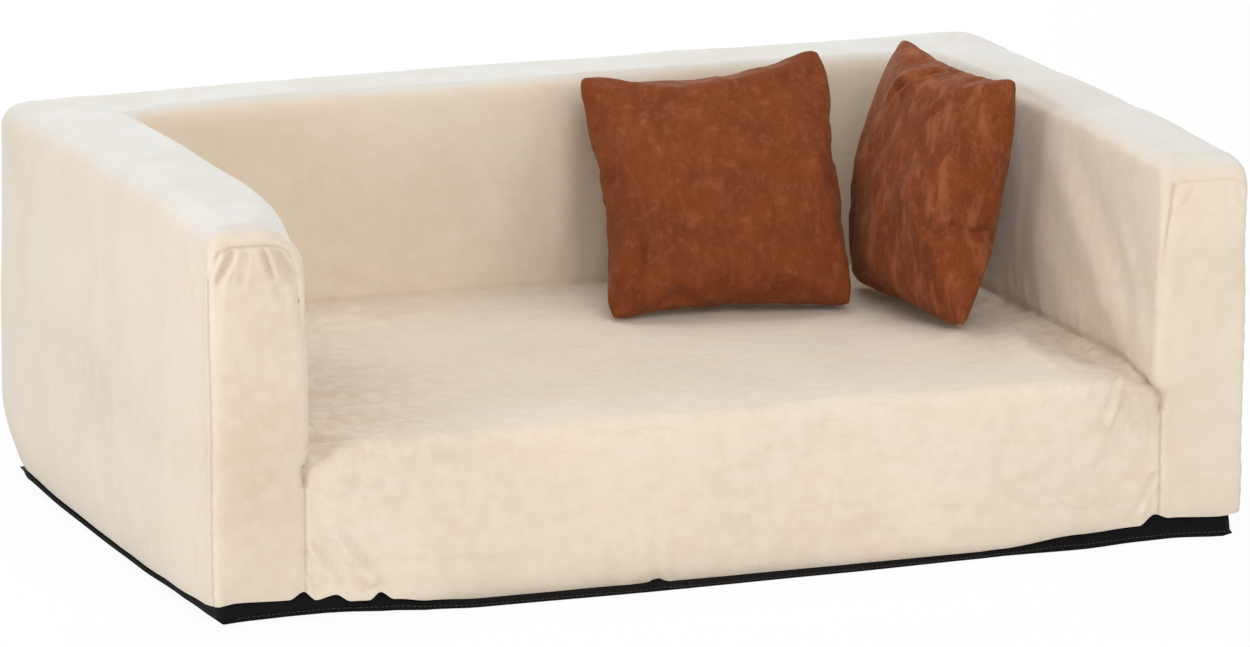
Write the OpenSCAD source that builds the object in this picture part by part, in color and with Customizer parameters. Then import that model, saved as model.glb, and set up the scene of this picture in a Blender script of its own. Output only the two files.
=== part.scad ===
// Dog sofa bed: a U of foam (two arms and a back) round a two-layer foam seat,
// in a sewn cream cover with a black base cloth, a straight zip along the rear
// hem and two loose scatter cushions.
// Frame: X to the right, Y to the rear, Z up, origin on the floor under the middle.

/* [Body] */
// Width over both arms
body_w = 1100; // [900:10:1400]
// Depth from the front of the arms to the rear of the back
body_d = 720; // [600:10:900]
// Height of the arms and the back above the floor
body_h = 395; // [330:5:500]
// Thickness of each arm
arm_t = 92; // [75:1:130]
// Thickness of the back
back_t = 110; // [90:1:150]
// Height of the covered seat above the floor
seat_h = 170; // [140:1:210]

/* [Soft edges] */
// Radius of the long top edges of the arms and the back
edge_r = 26; // [14:1:34]
// Radius over the top front edge of each arm
arm_front_r = 24; // [12:1:40]
// Radius of the two upright corners at the rear
rear_corner_r = 26; // [16:1:45]
// Radius of the outer upright corners at the front
front_corner_r = 5; // [3:0.5:6]
// Radius of the inner upright corner at the front of each arm, above the seat
arm_inner_r = 10; // [5:1:20]
// Radius of the seat's front edge
seat_front_r = 28; // [15:1:45]

/* [Cover] */
// Thickness of the cover fabric with its backing
cover_t = 2.2; // [1.2:0.1:3.5]
// Fit gap between a cover and the foam inside it
foam_gap = 0.3; // [0.1:0.1:1]
// Height of the cover's lower edge above the floor
hem_h = 15; // [14:0.5:22]
// How far the front panel reaches round the arm's upright corners
front_wrap = 7; // [6.5:0.5:12]
// Distance of the front panel's top seam below the top of the arm
front_seam_drop = 24; // [12:1:50]

/* [Foam] */
// Thickness of the soft top layer of the seat
comfort_t = 50; // [20:5:80]
// Length of each 45 degree end of the mitre between an arm and the back
mitre_run = 38; // [36:1:44]

/* [Base] */
// Thickness of the black base cloth
base_t = 1.5; // [0.8:0.1:3]
// Thickness of the base cloth's turned-up border
border_t = 1.2; // [0.8:0.1:1.8]
// Height to which the border runs up behind the hem
border_h = 18.5; // [18:0.5:28]
// How far the border and the zip tapes are set in from the cover's face
band_inset = 6.2; // [5.8:0.1:6.4]
// Depth left free of foam behind the cover's face along the floor
band_room = 9.5; // [9.4:0.1:14]

/* [Zip] */
// Thickness of the zip tapes
tape_t = 0.6; // [0.4:0.1:0.8]
// Height of the middle of the tooth rows above the floor
zip_h = 8.5; // [8.4:0.1:9]
// Distance between two teeth of one row
tooth_pitch = 4.5; // [3.5:0.5:8]
// Height of a tooth row, from its cord to its tips
tooth_row_h = 3; // [2:0.1:3.2]
// Thickness of the teeth
tooth_t = 2.6; // [2:0.1:2.8]
// Width of the slot between the two rows, where the slider's neck runs
neck_slot = 1.2; // [1:0.1:1.4]
// Clearance round everything that slides or turns on the zip
zip_clear = 0.3; // [0.2:0.05:0.3]
// Length of the slider
slider_l = 14; // [10:0.5:20]
// Thickness of the slider's plates and flanges
slider_wall = 1; // [0.8:0.1:1]
// Length of the pull tab from its crossbar to its tip
pull_l = 24; // [16:1:36]
// Thickness of the pull tab
pull_t = 1.4; // [1:0.1:1.5]

/* [Scatter cushions] */
// Side of each square cushion, from ear to ear
cushion_side = 266; // [220:2:300]
// Thickness of a cushion at its crown
cushion_t = 104; // [70:2:110]
// How far the middle of the top and bottom seams is drawn in
cushion_draw = 11; // [4:1:16]
// How far the middle of the side seams is drawn in
side_draw = 4; // [2:1:12]
// Thickness of the cushion fabric
cushion_cloth_t = 1.5; // [1:0.1:3]
// Width of the seam allowance inside a cushion cover
cushion_seam = 4; // [3:0.5:8]
// Gap between a cushion cover and its pad
pad_gap = 0.4; // [0.2:0.1:1]
// Gap under a resting cushion
rest_gap = 0.3; // [0.2:0.1:0.5]
// Left cushion: its lower edge's distance from the right arm
left_from_arm = 295; // [285:5:360]
// Left cushion: its lower edge's distance from the back
left_from_back = 172; // [160:2:200]
// Left cushion: how far it leans back, in degrees
left_lean = 28; // [20:1:34]
// Left cushion: how far its upper right ear is pulled up
left_ear_lift = 18; // [0:1:24]
// Right cushion: its lower edge's distance from the right arm
right_from_arm = 116; // [108:2:130]
// Right cushion: its lower edge's distance from the back
right_from_back = 206; // [190:2:240]
// Right cushion: how far it leans towards the arm, in degrees
right_lean = 13; // [8:1:16]

/* [Hidden] */
$fn = 48;

// Colours of the cover, the base, the foam, the zip and the scatter cushions
CREAM = [0.89, 0.84, 0.77];
BLACK = [0.06, 0.06, 0.06];
FOAM = [0.93, 0.90, 0.72];
ZINC = [0.45, 0.45, 0.47];
RUST = [0.49, 0.25, 0.15];

// Overrun of every cut past the faces that it goes through
overrun = 5;
// Smallest radius to which an inset corner shrinks
least_r = 1;

// Inner faces of the arms and of the back, round the sleeping well
well_x = body_w / 2 - arm_t;
well_y = body_d / 2 - back_t;
// Half the width of the seat, which tucks in under the arm covers
seat_half_w = well_x + cover_t;
// Inset of the foam behind the cover's face
foam_inset = cover_t + foam_gap;
// Top of the space that the border and the zip need at the foot of the foam
band_h = border_h + foam_gap + foam_gap;

// Zip: half the length of its tapes and of its tooth rows, and its middle plane
zip_corner_margin = 10;
zip_end_gap = 14;
zip_half = body_w / 2 - rear_corner_r - zip_corner_margin;
teeth_half = zip_half - zip_end_gap;
zip_y = body_d / 2 - band_inset - tape_t / 2;
row_inner = neck_slot / 2;
row_outer = row_inner + tooth_row_h;
rear_border_h = zip_h - row_outer - slider_wall - zip_clear - zip_clear;
stop_l = 4;
stop_t = tooth_t;
// Slider: half its thickness, half its height, and where it stands at rest
channel_half = tooth_t / 2 + zip_clear;
slider_half_t = channel_half + slider_wall;
slider_half_h = row_outer + zip_clear + slider_wall;
slider_x = teeth_half - slider_l / 2 - zip_clear;
neck_l = slider_l / 2;
// Bridge of the slider, through which the pull's crossbar passes
bridge_w = 2;
bridge_wall = 0.8;
pull_bar_r = pull_t / 2;
bridge_half_in = pull_bar_r + zip_clear + zip_clear;
bridge_half_out = bridge_half_in + bridge_wall;
bridge_gap = pull_t + zip_clear + zip_clear;
pivot_y = zip_y + slider_half_t + zip_clear + pull_bar_r;
// Pull tab: its window is longer than the bridge's far corner is from the pivot
bridge_reach = norm([bridge_half_out, bridge_gap + bridge_wall]);
window_l = bridge_reach + zip_clear;
rail_in = bridge_w / 2 + zip_clear;
rail_out = rail_in + pull_t;
pull_hole_r = 1.1;

// Cushions: number of steps of the grid each way, and the shape of the crown
grid_steps = 12;
crown_power = 2.4;
edge_power = 0.55;
left_turn = -3.5;
right_turn = -85;

// Outline of the sofa seen from above, set in by some inset
module plan_outline(inset) {
    half_w = body_w / 2 - inset;
    half_d = body_d / 2 - inset;
    front_r = max(front_corner_r - inset, least_r);
    rear_r = max(rear_corner_r - inset, least_r);
    translate([-half_w, front_r - half_d])
        square([2 * half_w, 2 * half_d - front_r - rear_r]);
    translate([front_r - half_w, -half_d])
        square([2 * (half_w - front_r), half_d]);
    translate([rear_r - half_w, 0])
        square([2 * (half_w - rear_r), half_d]);
    for (side = [-1, 1]) {
        translate([side * (half_w - front_r), front_r - half_d]) circle(front_r);
        translate([side * (half_w - rear_r), half_d - rear_r]) circle(rear_r);
    }
}

// Section of a bar from a to b, flat at its foot, with both top corners rounded
module bar_section(a, b, foot, top, r) {
    translate([a, foot]) square([b - a, top - foot - r]);
    translate([a + r, foot]) square([b - a - 2 * r, top - foot]);
    for (x = [a + r, b - r]) translate([x, top - r]) circle(r);
}

// Section from a to b with only its top corner at a rounded
module nosed_section(a, b, foot, top, r) {
    translate([a, foot]) square([b - a, top - foot - r]);
    translate([a + r, foot]) square([b - a - r, top - foot]);
    translate([a + r, top - r]) circle(r);
}

// Extrusion of a section drawn in X and Z, from y0 to y1
module along_y(y0, y1) {
    translate([0, y1, 0]) rotate([90, 0, 0]) linear_extrude(y1 - y0) children();
}

// Extrusion of a section drawn in Y and Z, from x0 to x1
module along_x(x0, x1) {
    translate([x0, 0, 0]) rotate([90, 0, 90]) linear_extrude(x1 - x0) children();
}

// Right arm as a bar, set in by some inset, from its foot upwards
module arm_bar(inset, foot) {
    difference() {
        intersection() {
            along_y(-body_d / 2, body_d / 2)
                bar_section(well_x + inset, body_w / 2 - inset, foot, body_h - inset, edge_r - inset);
            along_x(0, body_w / 2)
                nosed_section(inset - body_d / 2, body_d / 2, foot, body_h - inset, arm_front_r - inset);
            linear_extrude(body_h) plan_outline(inset);
        }
        arm_inner_nick(inset);
    }
}

// What is cut away to round the arm's inner front corner above the seat
module arm_inner_nick(inset) {
    r = arm_inner_r - inset;
    centre = [well_x + arm_inner_r, arm_inner_r - body_d / 2];
    translate([0, 0, seat_h - seat_front_r - inset])
        linear_extrude(body_h)
            difference() {
                translate(centre - [arm_inner_r + overrun, arm_inner_r + overrun])
                    square(arm_inner_r + overrun);
                translate(centre) circle(r);
            }
}

// Back as a bar, set in by some inset, from its foot upwards
module back_bar(inset, foot) {
    intersection() {
        along_x(-body_w / 2, body_w / 2)
            bar_section(well_y + inset, body_d / 2 - inset, foot, body_h - inset, edge_r - inset);
        linear_extrude(body_h) plan_outline(inset);
    }
}

// Points of the mitre between the right arm and the back, from inside to outside
mitre_line = [
    [well_x - overrun, well_y - overrun],
    [well_x + mitre_run, well_y + mitre_run],
    [body_w / 2 - mitre_run, body_d / 2 - mitre_run],
    [body_w / 2 + overrun, body_d / 2 + overrun]
];

// Space of the right arm, on its side of the mitre
module arm_side() {
    linear_extrude(body_h)
        polygon(concat(mitre_line, [
            [body_w / 2 + overrun, -body_d / 2 - overrun],
            [well_x - overrun, -body_d / 2 - overrun]
        ]));
}

// Space of the back, between the two mitres
module back_side() {
    left_line = [for (i = [len(mitre_line) - 1:-1:0]) [-mitre_line[i][0], mitre_line[i][1]]];
    linear_extrude(body_h) polygon(concat(mitre_line, left_line));
}

// Seat as a block with a rounded front edge, set in by some inset at its front and top
module seat_block(inset, half_w, foot) {
    along_x(-half_w, half_w)
        nosed_section(inset - body_d / 2, well_y + cover_t, foot, seat_h - inset, seat_front_r - inset);
}

// Strip of the plan from one inset to another, between two heights
module plan_ring(inset_out, inset_in, foot, top) {
    translate([0, 0, foot])
        linear_extrude(top - foot)
            difference() {
                plan_outline(inset_out);
                plan_outline(inset_in);
            }
}

// Room along the floor that the foam leaves to the border and the zip
module band_space() {
    translate([0, 0, -overrun])
        linear_extrude(band_h + overrun)
            difference() {
                square([body_w + overrun, body_d + overrun], center = true);
                plan_outline(band_room);
            }
}

// Turned-in hem at the cover's lower edge, which the border and the zip are sewn to;
// it starts half way into the fabric, so that the two are one piece
module hem_lip() {
    plan_ring(cover_t / 2, band_inset, hem_h, hem_h + cover_t);
}

// Space taken by the arm's front panel: before the wrap and under the top seam
module front_panel_space() {
    translate([well_x - overrun, -body_d / 2 - overrun, 0])
        cube([arm_t + 2 * overrun, front_wrap + overrun, body_h - front_seam_drop]);
}

// Skin of the right arm with its hem, before it is cut into panels
module arm_skin() {
    intersection() {
        union() {
            difference() {
                arm_bar(0, hem_h);
                arm_bar(cover_t, 0);
            }
            hem_lip();
        }
        arm_side();
    }
}

module right_arm_cover_solid() {
    difference() {
        arm_skin();
        front_panel_space();
        seat_block(0, seat_half_w + foam_gap, 0);
    }
}

module right_arm_front_solid() {
    difference() {
        intersection() {
            arm_skin();
            front_panel_space();
            translate([well_x, -body_d, 0]) cube([body_w, body_d, body_h]);
        }
        seat_block(cover_t, seat_half_w + foam_gap, 0);
    }
}

module right_arm_foam_solid() {
    difference() {
        intersection() {
            arm_bar(foam_inset, base_t);
            arm_side();
        }
        band_space();
    }
}

module seat_foam_block() {
    difference() {
        seat_block(foam_inset, seat_half_w, base_t);
        band_space();
    }
}

// Height at which the two layers of the seat meet
layer_z = seat_h - foam_inset - comfort_t;

module seat_support_foam() {
    color(FOAM)
        intersection() {
            seat_foam_block();
            translate([-body_w / 2, -body_d / 2, 0]) cube([body_w, body_d, layer_z]);
        }
}

module seat_comfort_foam() {
    color(FOAM)
        intersection() {
            seat_foam_block();
            translate([-body_w / 2, -body_d / 2, layer_z]) cube([body_w, body_d, seat_h]);
        }
}

module right_arm_foam() {
    color(FOAM) right_arm_foam_solid();
}

module left_arm_foam() {
    color(FOAM) mirror([1, 0, 0]) right_arm_foam_solid();
}

module back_foam() {
    color(FOAM)
        difference() {
            intersection() {
                back_bar(foam_inset, base_t);
                back_side();
            }
            band_space();
        }
}

module right_arm_cover() {
    color(CREAM) right_arm_cover_solid();
}

module left_arm_cover() {
    color(CREAM) mirror([1, 0, 0]) right_arm_cover_solid();
}

module right_arm_front_panel() {
    color(CREAM) right_arm_front_solid();
}

module left_arm_front_panel() {
    color(CREAM) mirror([1, 0, 0]) right_arm_front_solid();
}

module back_cover() {
    color(CREAM)
        difference() {
            intersection() {
                union() {
                    difference() {
                        back_bar(0, hem_h);
                        back_bar(cover_t, 0);
                    }
                    hem_lip();
                }
                back_side();
            }
            seat_block(0, seat_half_w + foam_gap, 0);
        }
}

// Seat top and front apron in one panel, between the two arm front panels
module seat_panel() {
    color(CREAM)
        difference() {
            union() {
                difference() {
                    seat_block(0, seat_half_w, hem_h);
                    seat_block(cover_t, seat_half_w + overrun, 0);
                }
                intersection() {
                    hem_lip();
                    translate([-well_x, -body_d, 0]) cube([2 * well_x, body_d, body_h]);
                }
            }
            for (side = [0, 1])
                mirror([side, 0, 0])
                    translate([well_x, -body_d / 2 - overrun, 0])
                        cube([arm_t, front_wrap + overrun, body_h]);
        }
}

// Black tray: a flat cloth with its border turned up, lower where the zip runs
module base_cloth() {
    tape_back = body_d / 2 - band_inset - tape_t;
    color(BLACK)
        union() {
            difference() {
                union() {
                    linear_extrude(base_t) plan_outline(band_inset);
                    plan_ring(band_inset, band_inset + border_t, 0, border_h);
                }
                translate([-zip_half, tape_back, -overrun])
                    cube([2 * zip_half, band_inset, border_h + 2 * overrun]);
                translate([-zip_half, tape_back - border_t, rear_border_h])
                    cube([2 * zip_half, band_inset, border_h]);
            }
            translate([-zip_half, tape_back - border_t, 0])
                cube([2 * zip_half, border_t, rear_border_h]);
        }
}

// Block centred on the zip's middle plane, between two heights measured from its middle
module zip_block(x0, x1, half_t, z0, z1) {
    translate([x0, zip_y - half_t, zip_h + z0]) cube([x1 - x0, 2 * half_t, z1 - z0]);
}

module rear_zip_upper_tape() {
    color(BLACK) zip_block(-zip_half, zip_half, tape_t / 2, row_outer, border_h - zip_h);
}

module rear_zip_lower_tape() {
    color(BLACK) zip_block(-zip_half, zip_half, tape_t / 2, -zip_h, -row_outer);
}

// Outline of one tooth row: a cord along its root and tapered teeth on the cord
tooth_cord_share = 0.3;
tooth_root_share = 0.62;
tooth_tip_share = 0.42;
function tooth_row_points(shift) =
    let (
        cord_z = row_outer - tooth_cord_share * tooth_row_h,
        count = floor(2 * teeth_half / tooth_pitch),
        first = -teeth_half + shift
    )
    concat(
        [[teeth_half, cord_z], [teeth_half, row_outer], [-teeth_half, row_outer], [-teeth_half, cord_z]],
        [for (i = [0:count - 1], corner = [0:3])
            let (
                middle = first + (i + 0.5) * tooth_pitch,
                half = tooth_pitch / 2 * (corner == 0 || corner == 3 ? tooth_root_share : tooth_tip_share),
                x = corner < 2 ? middle - half : middle + half
            )
            [x, corner == 0 || corner == 3 ? cord_z : row_inner]]
    );

module tooth_row(shift) {
    translate([0, zip_y + tooth_t / 2, zip_h])
        rotate([90, 0, 0])
            linear_extrude(tooth_t) polygon(tooth_row_points(shift));
}

// Half the length left over when whole teeth fill a row
spare_half = (2 * teeth_half - floor(2 * teeth_half / tooth_pitch) * tooth_pitch) / 2;

module rear_zip_upper_teeth() {
    color(BLACK) tooth_row(spare_half);
}

module rear_zip_lower_teeth() {
    color(BLACK)
        translate([0, 0, 2 * zip_h]) mirror([0, 0, 1]) tooth_row(spare_half);
}

// One wide stop at the far end of the rows and a small one on each tape at the near end
module rear_zip_stops() {
    color(ZINC) {
        zip_block(-teeth_half - stop_l, -teeth_half, stop_t / 2, -row_outer, row_outer);
        for (z = [-row_outer, row_inner])
            zip_block(teeth_half, teeth_half + stop_l, stop_t / 2, z, z + tooth_row_h);
    }
}

// Slider: two plates joined by a thin neck, with flanges that leave a slot for each tape
module rear_zip_slider() {
    tape_slot = tape_t / 2 + zip_clear;
    color(ZINC)
        translate([slider_x, zip_y, zip_h])
            union() {
                difference() {
                    translate([-slider_l / 2, -slider_half_t, -slider_half_h])
                        cube([slider_l, 2 * slider_half_t, 2 * slider_half_h]);
                    translate([-slider_l / 2 - overrun, -channel_half, -row_outer - zip_clear])
                        cube([slider_l + 2 * overrun, 2 * channel_half, 2 * (row_outer + zip_clear)]);
                    translate([-slider_l / 2 - overrun, -tape_slot, -slider_half_h - overrun])
                        cube([slider_l + 2 * overrun, 2 * tape_slot, 2 * (slider_half_h + overrun)]);
                }
                translate([slider_l / 2 - neck_l, -channel_half, -row_inner + zip_clear])
                    cube([neck_l, 2 * channel_half, 2 * (row_inner - zip_clear)]);
                slider_bridge();
            }
}

// Arch on the slider's outer plate
module slider_bridge() {
    translate([0, slider_half_t, 0])
        difference() {
            translate([-bridge_half_out, 0, -bridge_w / 2])
                cube([2 * bridge_half_out, bridge_gap + bridge_wall, bridge_w]);
            translate([-bridge_half_in, 0, -bridge_w / 2 - overrun])
                cube([2 * bridge_half_in, bridge_gap, bridge_w + 2 * overrun]);
        }
}

// Pull tab, lying along the band, with a window round the bridge and a round crossbar in it
module rear_zip_pull() {
    color(ZINC)
        translate([slider_x, pivot_y, zip_h])
            union() {
                translate([0, pull_t / 2, 0])
                    rotate([90, 0, 0])
                        linear_extrude(pull_t)
                            difference() {
                                union() {
                                    translate([rail_out - pull_l, -rail_out])
                                        square([pull_l - rail_out, 2 * rail_out]);
                                    translate([rail_out - pull_l, 0]) circle(rail_out);
                                }
                                translate([-window_l, -rail_in]) square([window_l + overrun, 2 * rail_in]);
                                translate([rail_out - pull_l, 0]) circle(pull_hole_r);
                            }
                translate([0, 0, -rail_out]) cylinder(h = 2 * rail_out, r = pull_bar_r);
            }
}

// Half thickness of a cushion at u and v, which run from -1 to 1, as a share of its crown
function crown_share(u, v) =
    pow(1 - pow(abs(u), crown_power), edge_power) * pow(1 - pow(abs(v), crown_power), edge_power);

// Place of grid step i, closer together towards the seams
function grid_share(i) = sin(90 * (2 * i / grid_steps - 1));

// Turn a point of an upright cushion about X by its lean and about Z by its turn
function posed(p, lean, turn) =
    let (
        y = p[1] * cos(lean) + p[2] * sin(lean),
        z = p[2] * cos(lean) - p[1] * sin(lean)
    )
    [p[0] * cos(turn) - y * sin(turn), p[0] * sin(turn) + y * cos(turn), z];

// Pose of a cushion: the middle of its lower edge, its lean, its turn and its ear's lift
rest_z = seat_h + rest_gap;
left_pose = [
    [well_x - left_from_arm, well_y - left_from_back, rest_z],
    left_lean, left_turn, left_ear_lift
];
right_pose = [
    [well_x - right_from_arm, well_y - right_from_back, rest_z],
    right_lean, right_turn, 0
];

// How much of its ear's lift a point takes: all at the upper right, none at the other ears
function ear_share(u, v) = pow((1 + u) / 2, 2) * pow((1 + v) / 2, 2);

// Point of a cushion layer that lies some depth inside the seam and the crown
function layer_point(pose, face, i, j, seam_depth, crown_depth) =
    let (
        u = grid_share(i),
        v = grid_share(j),
        half = cushion_side / 2,
        plan_share = (half - seam_depth) / half,
        x = (half - side_draw * (1 - v * v)) * u * plan_share,
        z = (half - cushion_draw * (1 - u * u)) * v * plan_share + pose[3] * ear_share(u, v),
        y = face * (cushion_t / 2 - crown_depth) * crown_share(u, v),
        p = pose[0] + posed([0, 0, half], pose[1], pose[2]) + posed([x, y, z], pose[1], pose[2])
    )
    [p[0], p[1], max(p[2], pose[0][2] + crown_depth)];

// Both grids of one layer of a cushion
function layer_points(pose, face, seam_depth, crown_depth) =
    [for (j = [0:grid_steps], i = [0:grid_steps])
        layer_point(pose, face, i, j, seam_depth, crown_depth)];

grid_row = grid_steps + 1;
grid_count = grid_row * grid_row;
function grid_index(i, j) = j * grid_row + i;

// Triangle turned over where flip is true
function facet(a, b, c, flip) = flip ? [a, c, b] : [a, b, c];

// Triangles of a grid whose point numbers come from a function of the step; each square
// is split along the diagonal that points at the nearest ear
function grid_facets(number, flip) =
    [for (j = [0:grid_steps - 1], i = [0:grid_steps - 1], half = [0, 1])
        let (
            a = number(i, j),
            b = number(i, j + 1),
            c = number(i + 1, j + 1),
            d = number(i + 1, j),
            rising = (i < grid_steps / 2) == (j < grid_steps / 2)
        )
        rising
            ? (half == 0 ? facet(a, b, c, flip) : facet(a, c, d, flip))
            : (half == 0 ? facet(a, b, d, flip) : facet(b, c, d, flip))];

// Numbers of the points round the edge of a grid
edge_loop = concat(
    [for (i = [0:grid_steps - 1]) grid_index(i, 0)],
    [for (j = [0:grid_steps - 1]) grid_index(grid_steps, j)],
    [for (i = [grid_steps:-1:1]) grid_index(i, grid_steps)],
    [for (j = [grid_steps:-1:1]) grid_index(0, j)]
);

// One half of a cushion cover: a domed cloth shell with its seam allowance
module cushion_cover_half(pose, face) {
    flip = face > 0;
    count = len(edge_loop);
    outer = layer_points(pose, face, 0, 0);
    inner = layer_points(pose, face, cushion_seam, cushion_cloth_t);
    rim = [for (k = [0:count - 1], half = [0, 1])
        let (a = edge_loop[k], b = edge_loop[(k + 1) % count])
        half == 0 ? facet(a, b, b + grid_count, flip) : facet(a, b + grid_count, a + grid_count, flip)];
    polyhedron(
        points = concat(outer, inner),
        faces = concat(
            grid_facets(function(i, j) grid_index(i, j), flip),
            grid_facets(function(i, j) grid_index(i, j) + grid_count, !flip),
            rim
        )
    );
}

// Pad of a cushion: a closed crowned form inside the cover
module cushion_pad(pose) {
    seam_depth = cushion_seam + pad_gap;
    crown_depth = cushion_cloth_t + pad_gap;
    on_edge = function(i, j) i == 0 || j == 0 || i == grid_steps || j == grid_steps;
    polyhedron(
        points = concat(
            layer_points(pose, -1, seam_depth, crown_depth),
            layer_points(pose, 1, seam_depth, crown_depth)
        ),
        faces = concat(
            grid_facets(function(i, j) grid_index(i, j), false),
            grid_facets(function(i, j) grid_index(i, j) + (on_edge(i, j) ? 0 : grid_count), true)
        )
    );
}

module left_cushion_front_cover() {
    color(RUST) cushion_cover_half(left_pose, -1);
}

module left_cushion_back_cover() {
    color(RUST) cushion_cover_half(left_pose, 1);
}

module left_cushion_pad() {
    color(FOAM) cushion_pad(left_pose);
}

module right_cushion_front_cover() {
    color(RUST) cushion_cover_half(right_pose, -1);
}

module right_cushion_back_cover() {
    color(RUST) cushion_cover_half(right_pose, 1);
}

module right_cushion_pad() {
    color(FOAM) cushion_pad(right_pose);
}

seat_support_foam();
seat_comfort_foam();
left_arm_foam();
right_arm_foam();
back_foam();
left_arm_cover();
right_arm_cover();
left_arm_front_panel();
right_arm_front_panel();
back_cover();
seat_panel();
base_cloth();
rear_zip_upper_tape();
rear_zip_lower_tape();
rear_zip_upper_teeth();
rear_zip_lower_teeth();
rear_zip_stops();
rear_zip_slider();
rear_zip_pull();
left_cushion_front_cover();
left_cushion_back_cover();
left_cushion_pad();
right_cushion_front_cover();
right_cushion_back_cover();
right_cushion_pad();
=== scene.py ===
# %% [markdown]
# # A sofa-shaped dog bed, dressed for the camera
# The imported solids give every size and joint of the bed. This lesson adds what
# solids can't show: the soft cream velour cover with its seams and folds, the
# black base cloth, two brushed suede cushions, and the finish of the zip.
# Everything is in metres. The bed's open front looks towards -Y, and +Z is up.

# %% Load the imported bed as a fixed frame
import itertools
import math

import bpy
import numpy as np
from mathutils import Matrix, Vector


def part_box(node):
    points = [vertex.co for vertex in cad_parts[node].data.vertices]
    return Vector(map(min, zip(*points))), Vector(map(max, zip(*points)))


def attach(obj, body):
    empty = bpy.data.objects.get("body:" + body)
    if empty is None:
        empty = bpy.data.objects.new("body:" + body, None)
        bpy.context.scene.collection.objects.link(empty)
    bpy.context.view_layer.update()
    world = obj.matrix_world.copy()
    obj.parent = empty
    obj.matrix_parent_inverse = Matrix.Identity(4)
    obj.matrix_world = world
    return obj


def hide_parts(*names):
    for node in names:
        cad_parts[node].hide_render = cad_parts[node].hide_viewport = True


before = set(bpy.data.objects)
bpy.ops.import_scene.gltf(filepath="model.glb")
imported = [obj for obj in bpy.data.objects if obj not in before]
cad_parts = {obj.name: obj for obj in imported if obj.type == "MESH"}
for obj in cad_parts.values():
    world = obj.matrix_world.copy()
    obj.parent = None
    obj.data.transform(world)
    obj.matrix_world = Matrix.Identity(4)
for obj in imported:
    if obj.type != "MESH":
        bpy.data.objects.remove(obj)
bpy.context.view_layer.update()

MM = 0.001


def rounded(numbers, digits=3):
    return [round(float(number), digits) for number in numbers]


# %% [markdown]
# The picture was taken with a long lens from the bed's front left corner and a
# little above. The camera comes first, so that each later step can be compared
# with the picture. Its angles were fitted to the straight edges of the bed.

# %% The camera
TURN = math.radians(20.5)
TILT = math.radians(12.45)
AIM = Vector((0, 0, 0.2))
DISTANCE = 7.87
LENS_MM = 218.3
IMAGE_W = 1250
OFF_CENTRE = (9.5, 12.5)
back_of_lens = Vector(
    (-math.sin(TURN) * math.cos(TILT), -math.cos(TURN) * math.cos(TILT), math.sin(TILT))
)
bpy.ops.object.camera_add(location=AIM + back_of_lens * DISTANCE)
camera = bpy.context.object
camera.name = "studio_camera"
camera.rotation_euler = back_of_lens.to_track_quat("Z", "Y").to_euler()
camera.data.lens = LENS_MM
camera.data.clip_end = 60
camera.data.shift_x = OFF_CENTRE[0] / IMAGE_W
camera.data.shift_y = -OFF_CENTRE[1] / IMAGE_W
bpy.context.scene.camera = camera
print("camera at", rounded(camera.location))

# %% [markdown]
# Shader maths reads best as plain sums. `Socket` wraps one output of a node, so
# that `mask * 0.5 + 0.2` adds the Math nodes by itself, and `Finish.add` makes any
# other node from its type, its settings and what goes into its inputs.

# %% Two small helpers that write materials
class Socket:
    def __init__(self, finish, output):
        self.finish = finish
        self.output = output

    def sum_of(self, operation, first, second):
        return self.finish.add("ShaderNodeMath", {"operation": operation}, {0: first, 1: second})

    def __add__(self, other):
        return self.sum_of("ADD", self, other)

    def __mul__(self, other):
        return self.sum_of("MULTIPLY", self, other)


class Finish:
    def __init__(self, name):
        self.material = bpy.data.materials.new(name)
        self.material.use_nodes = True
        self.tree = self.material.node_tree
        self.shader = self.tree.nodes["Principled BSDF"]

    def add(self, kind, settings=None, inputs=None, output=0):
        node = self.tree.nodes.new(kind)
        for key, value in (settings or {}).items():
            setattr(node, key, value)
        self.fill(node, inputs or {})
        return Socket(self, node.outputs[output])

    def fill(self, node, inputs):
        for key, value in inputs.items():
            if isinstance(value, Socket):
                self.tree.links.new(value.output, node.inputs[key])
            else:
                node.inputs[key].default_value = value

    def place(self, scale=(1, 1, 1), turn=(0, 0, 0)):
        here = self.add("ShaderNodeTexCoord", output="Object")
        return self.add("ShaderNodeMapping", {}, {"Vector": here, "Rotation": turn, "Scale": scale})

    def noise(self, scale, where=None, detail=3.0, rough=0.5, twist=0.0):
        inputs = {"Scale": scale, "Detail": detail, "Roughness": rough, "Distortion": twist}
        inputs["Vector"] = where or self.place()
        return self.add("ShaderNodeTexNoise", {}, inputs)

    def ramp(self, value, low, high):
        inputs = {"Value": value, "From Min": low, "From Max": high}
        return self.add("ShaderNodeMapRange", {"interpolation_type": "SMOOTHSTEP"}, inputs)

    def blend(self, share, first, second):
        first = first if isinstance(first, Socket) else (*first, 1)
        second = second if isinstance(second, Socket) else (*second, 1)
        inputs = {0: share, 6: first, 7: second}
        return self.add("ShaderNodeMix", {"data_type": "RGBA"}, inputs, output=2)

    def layers(self, colour, *coats):
        """Lays one colour after another over the first, each by its share."""
        for share, coat in coats:
            colour = self.blend(share, colour, coat)
        return colour

    def bump(self, height, depth, strength=1.0, under=None):
        inputs = {"Height": height, "Distance": depth, "Strength": strength}
        if under:
            inputs["Normal"] = under
        return self.add("ShaderNodeBump", {}, inputs)

    def wear(self, **inputs):
        self.fill(self.shader, {key.replace("_", " "): value for key, value in inputs.items()})
        return self.material


print("helpers ready")

# %% [markdown]
# ## The studio
# A pale floor that turns white where the camera looks at it, and soft light: one
# wide lamp in front, weaker ones from the right, the left, above and behind, and
# an even pale world. The floor still takes the bed's shadow.

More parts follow.
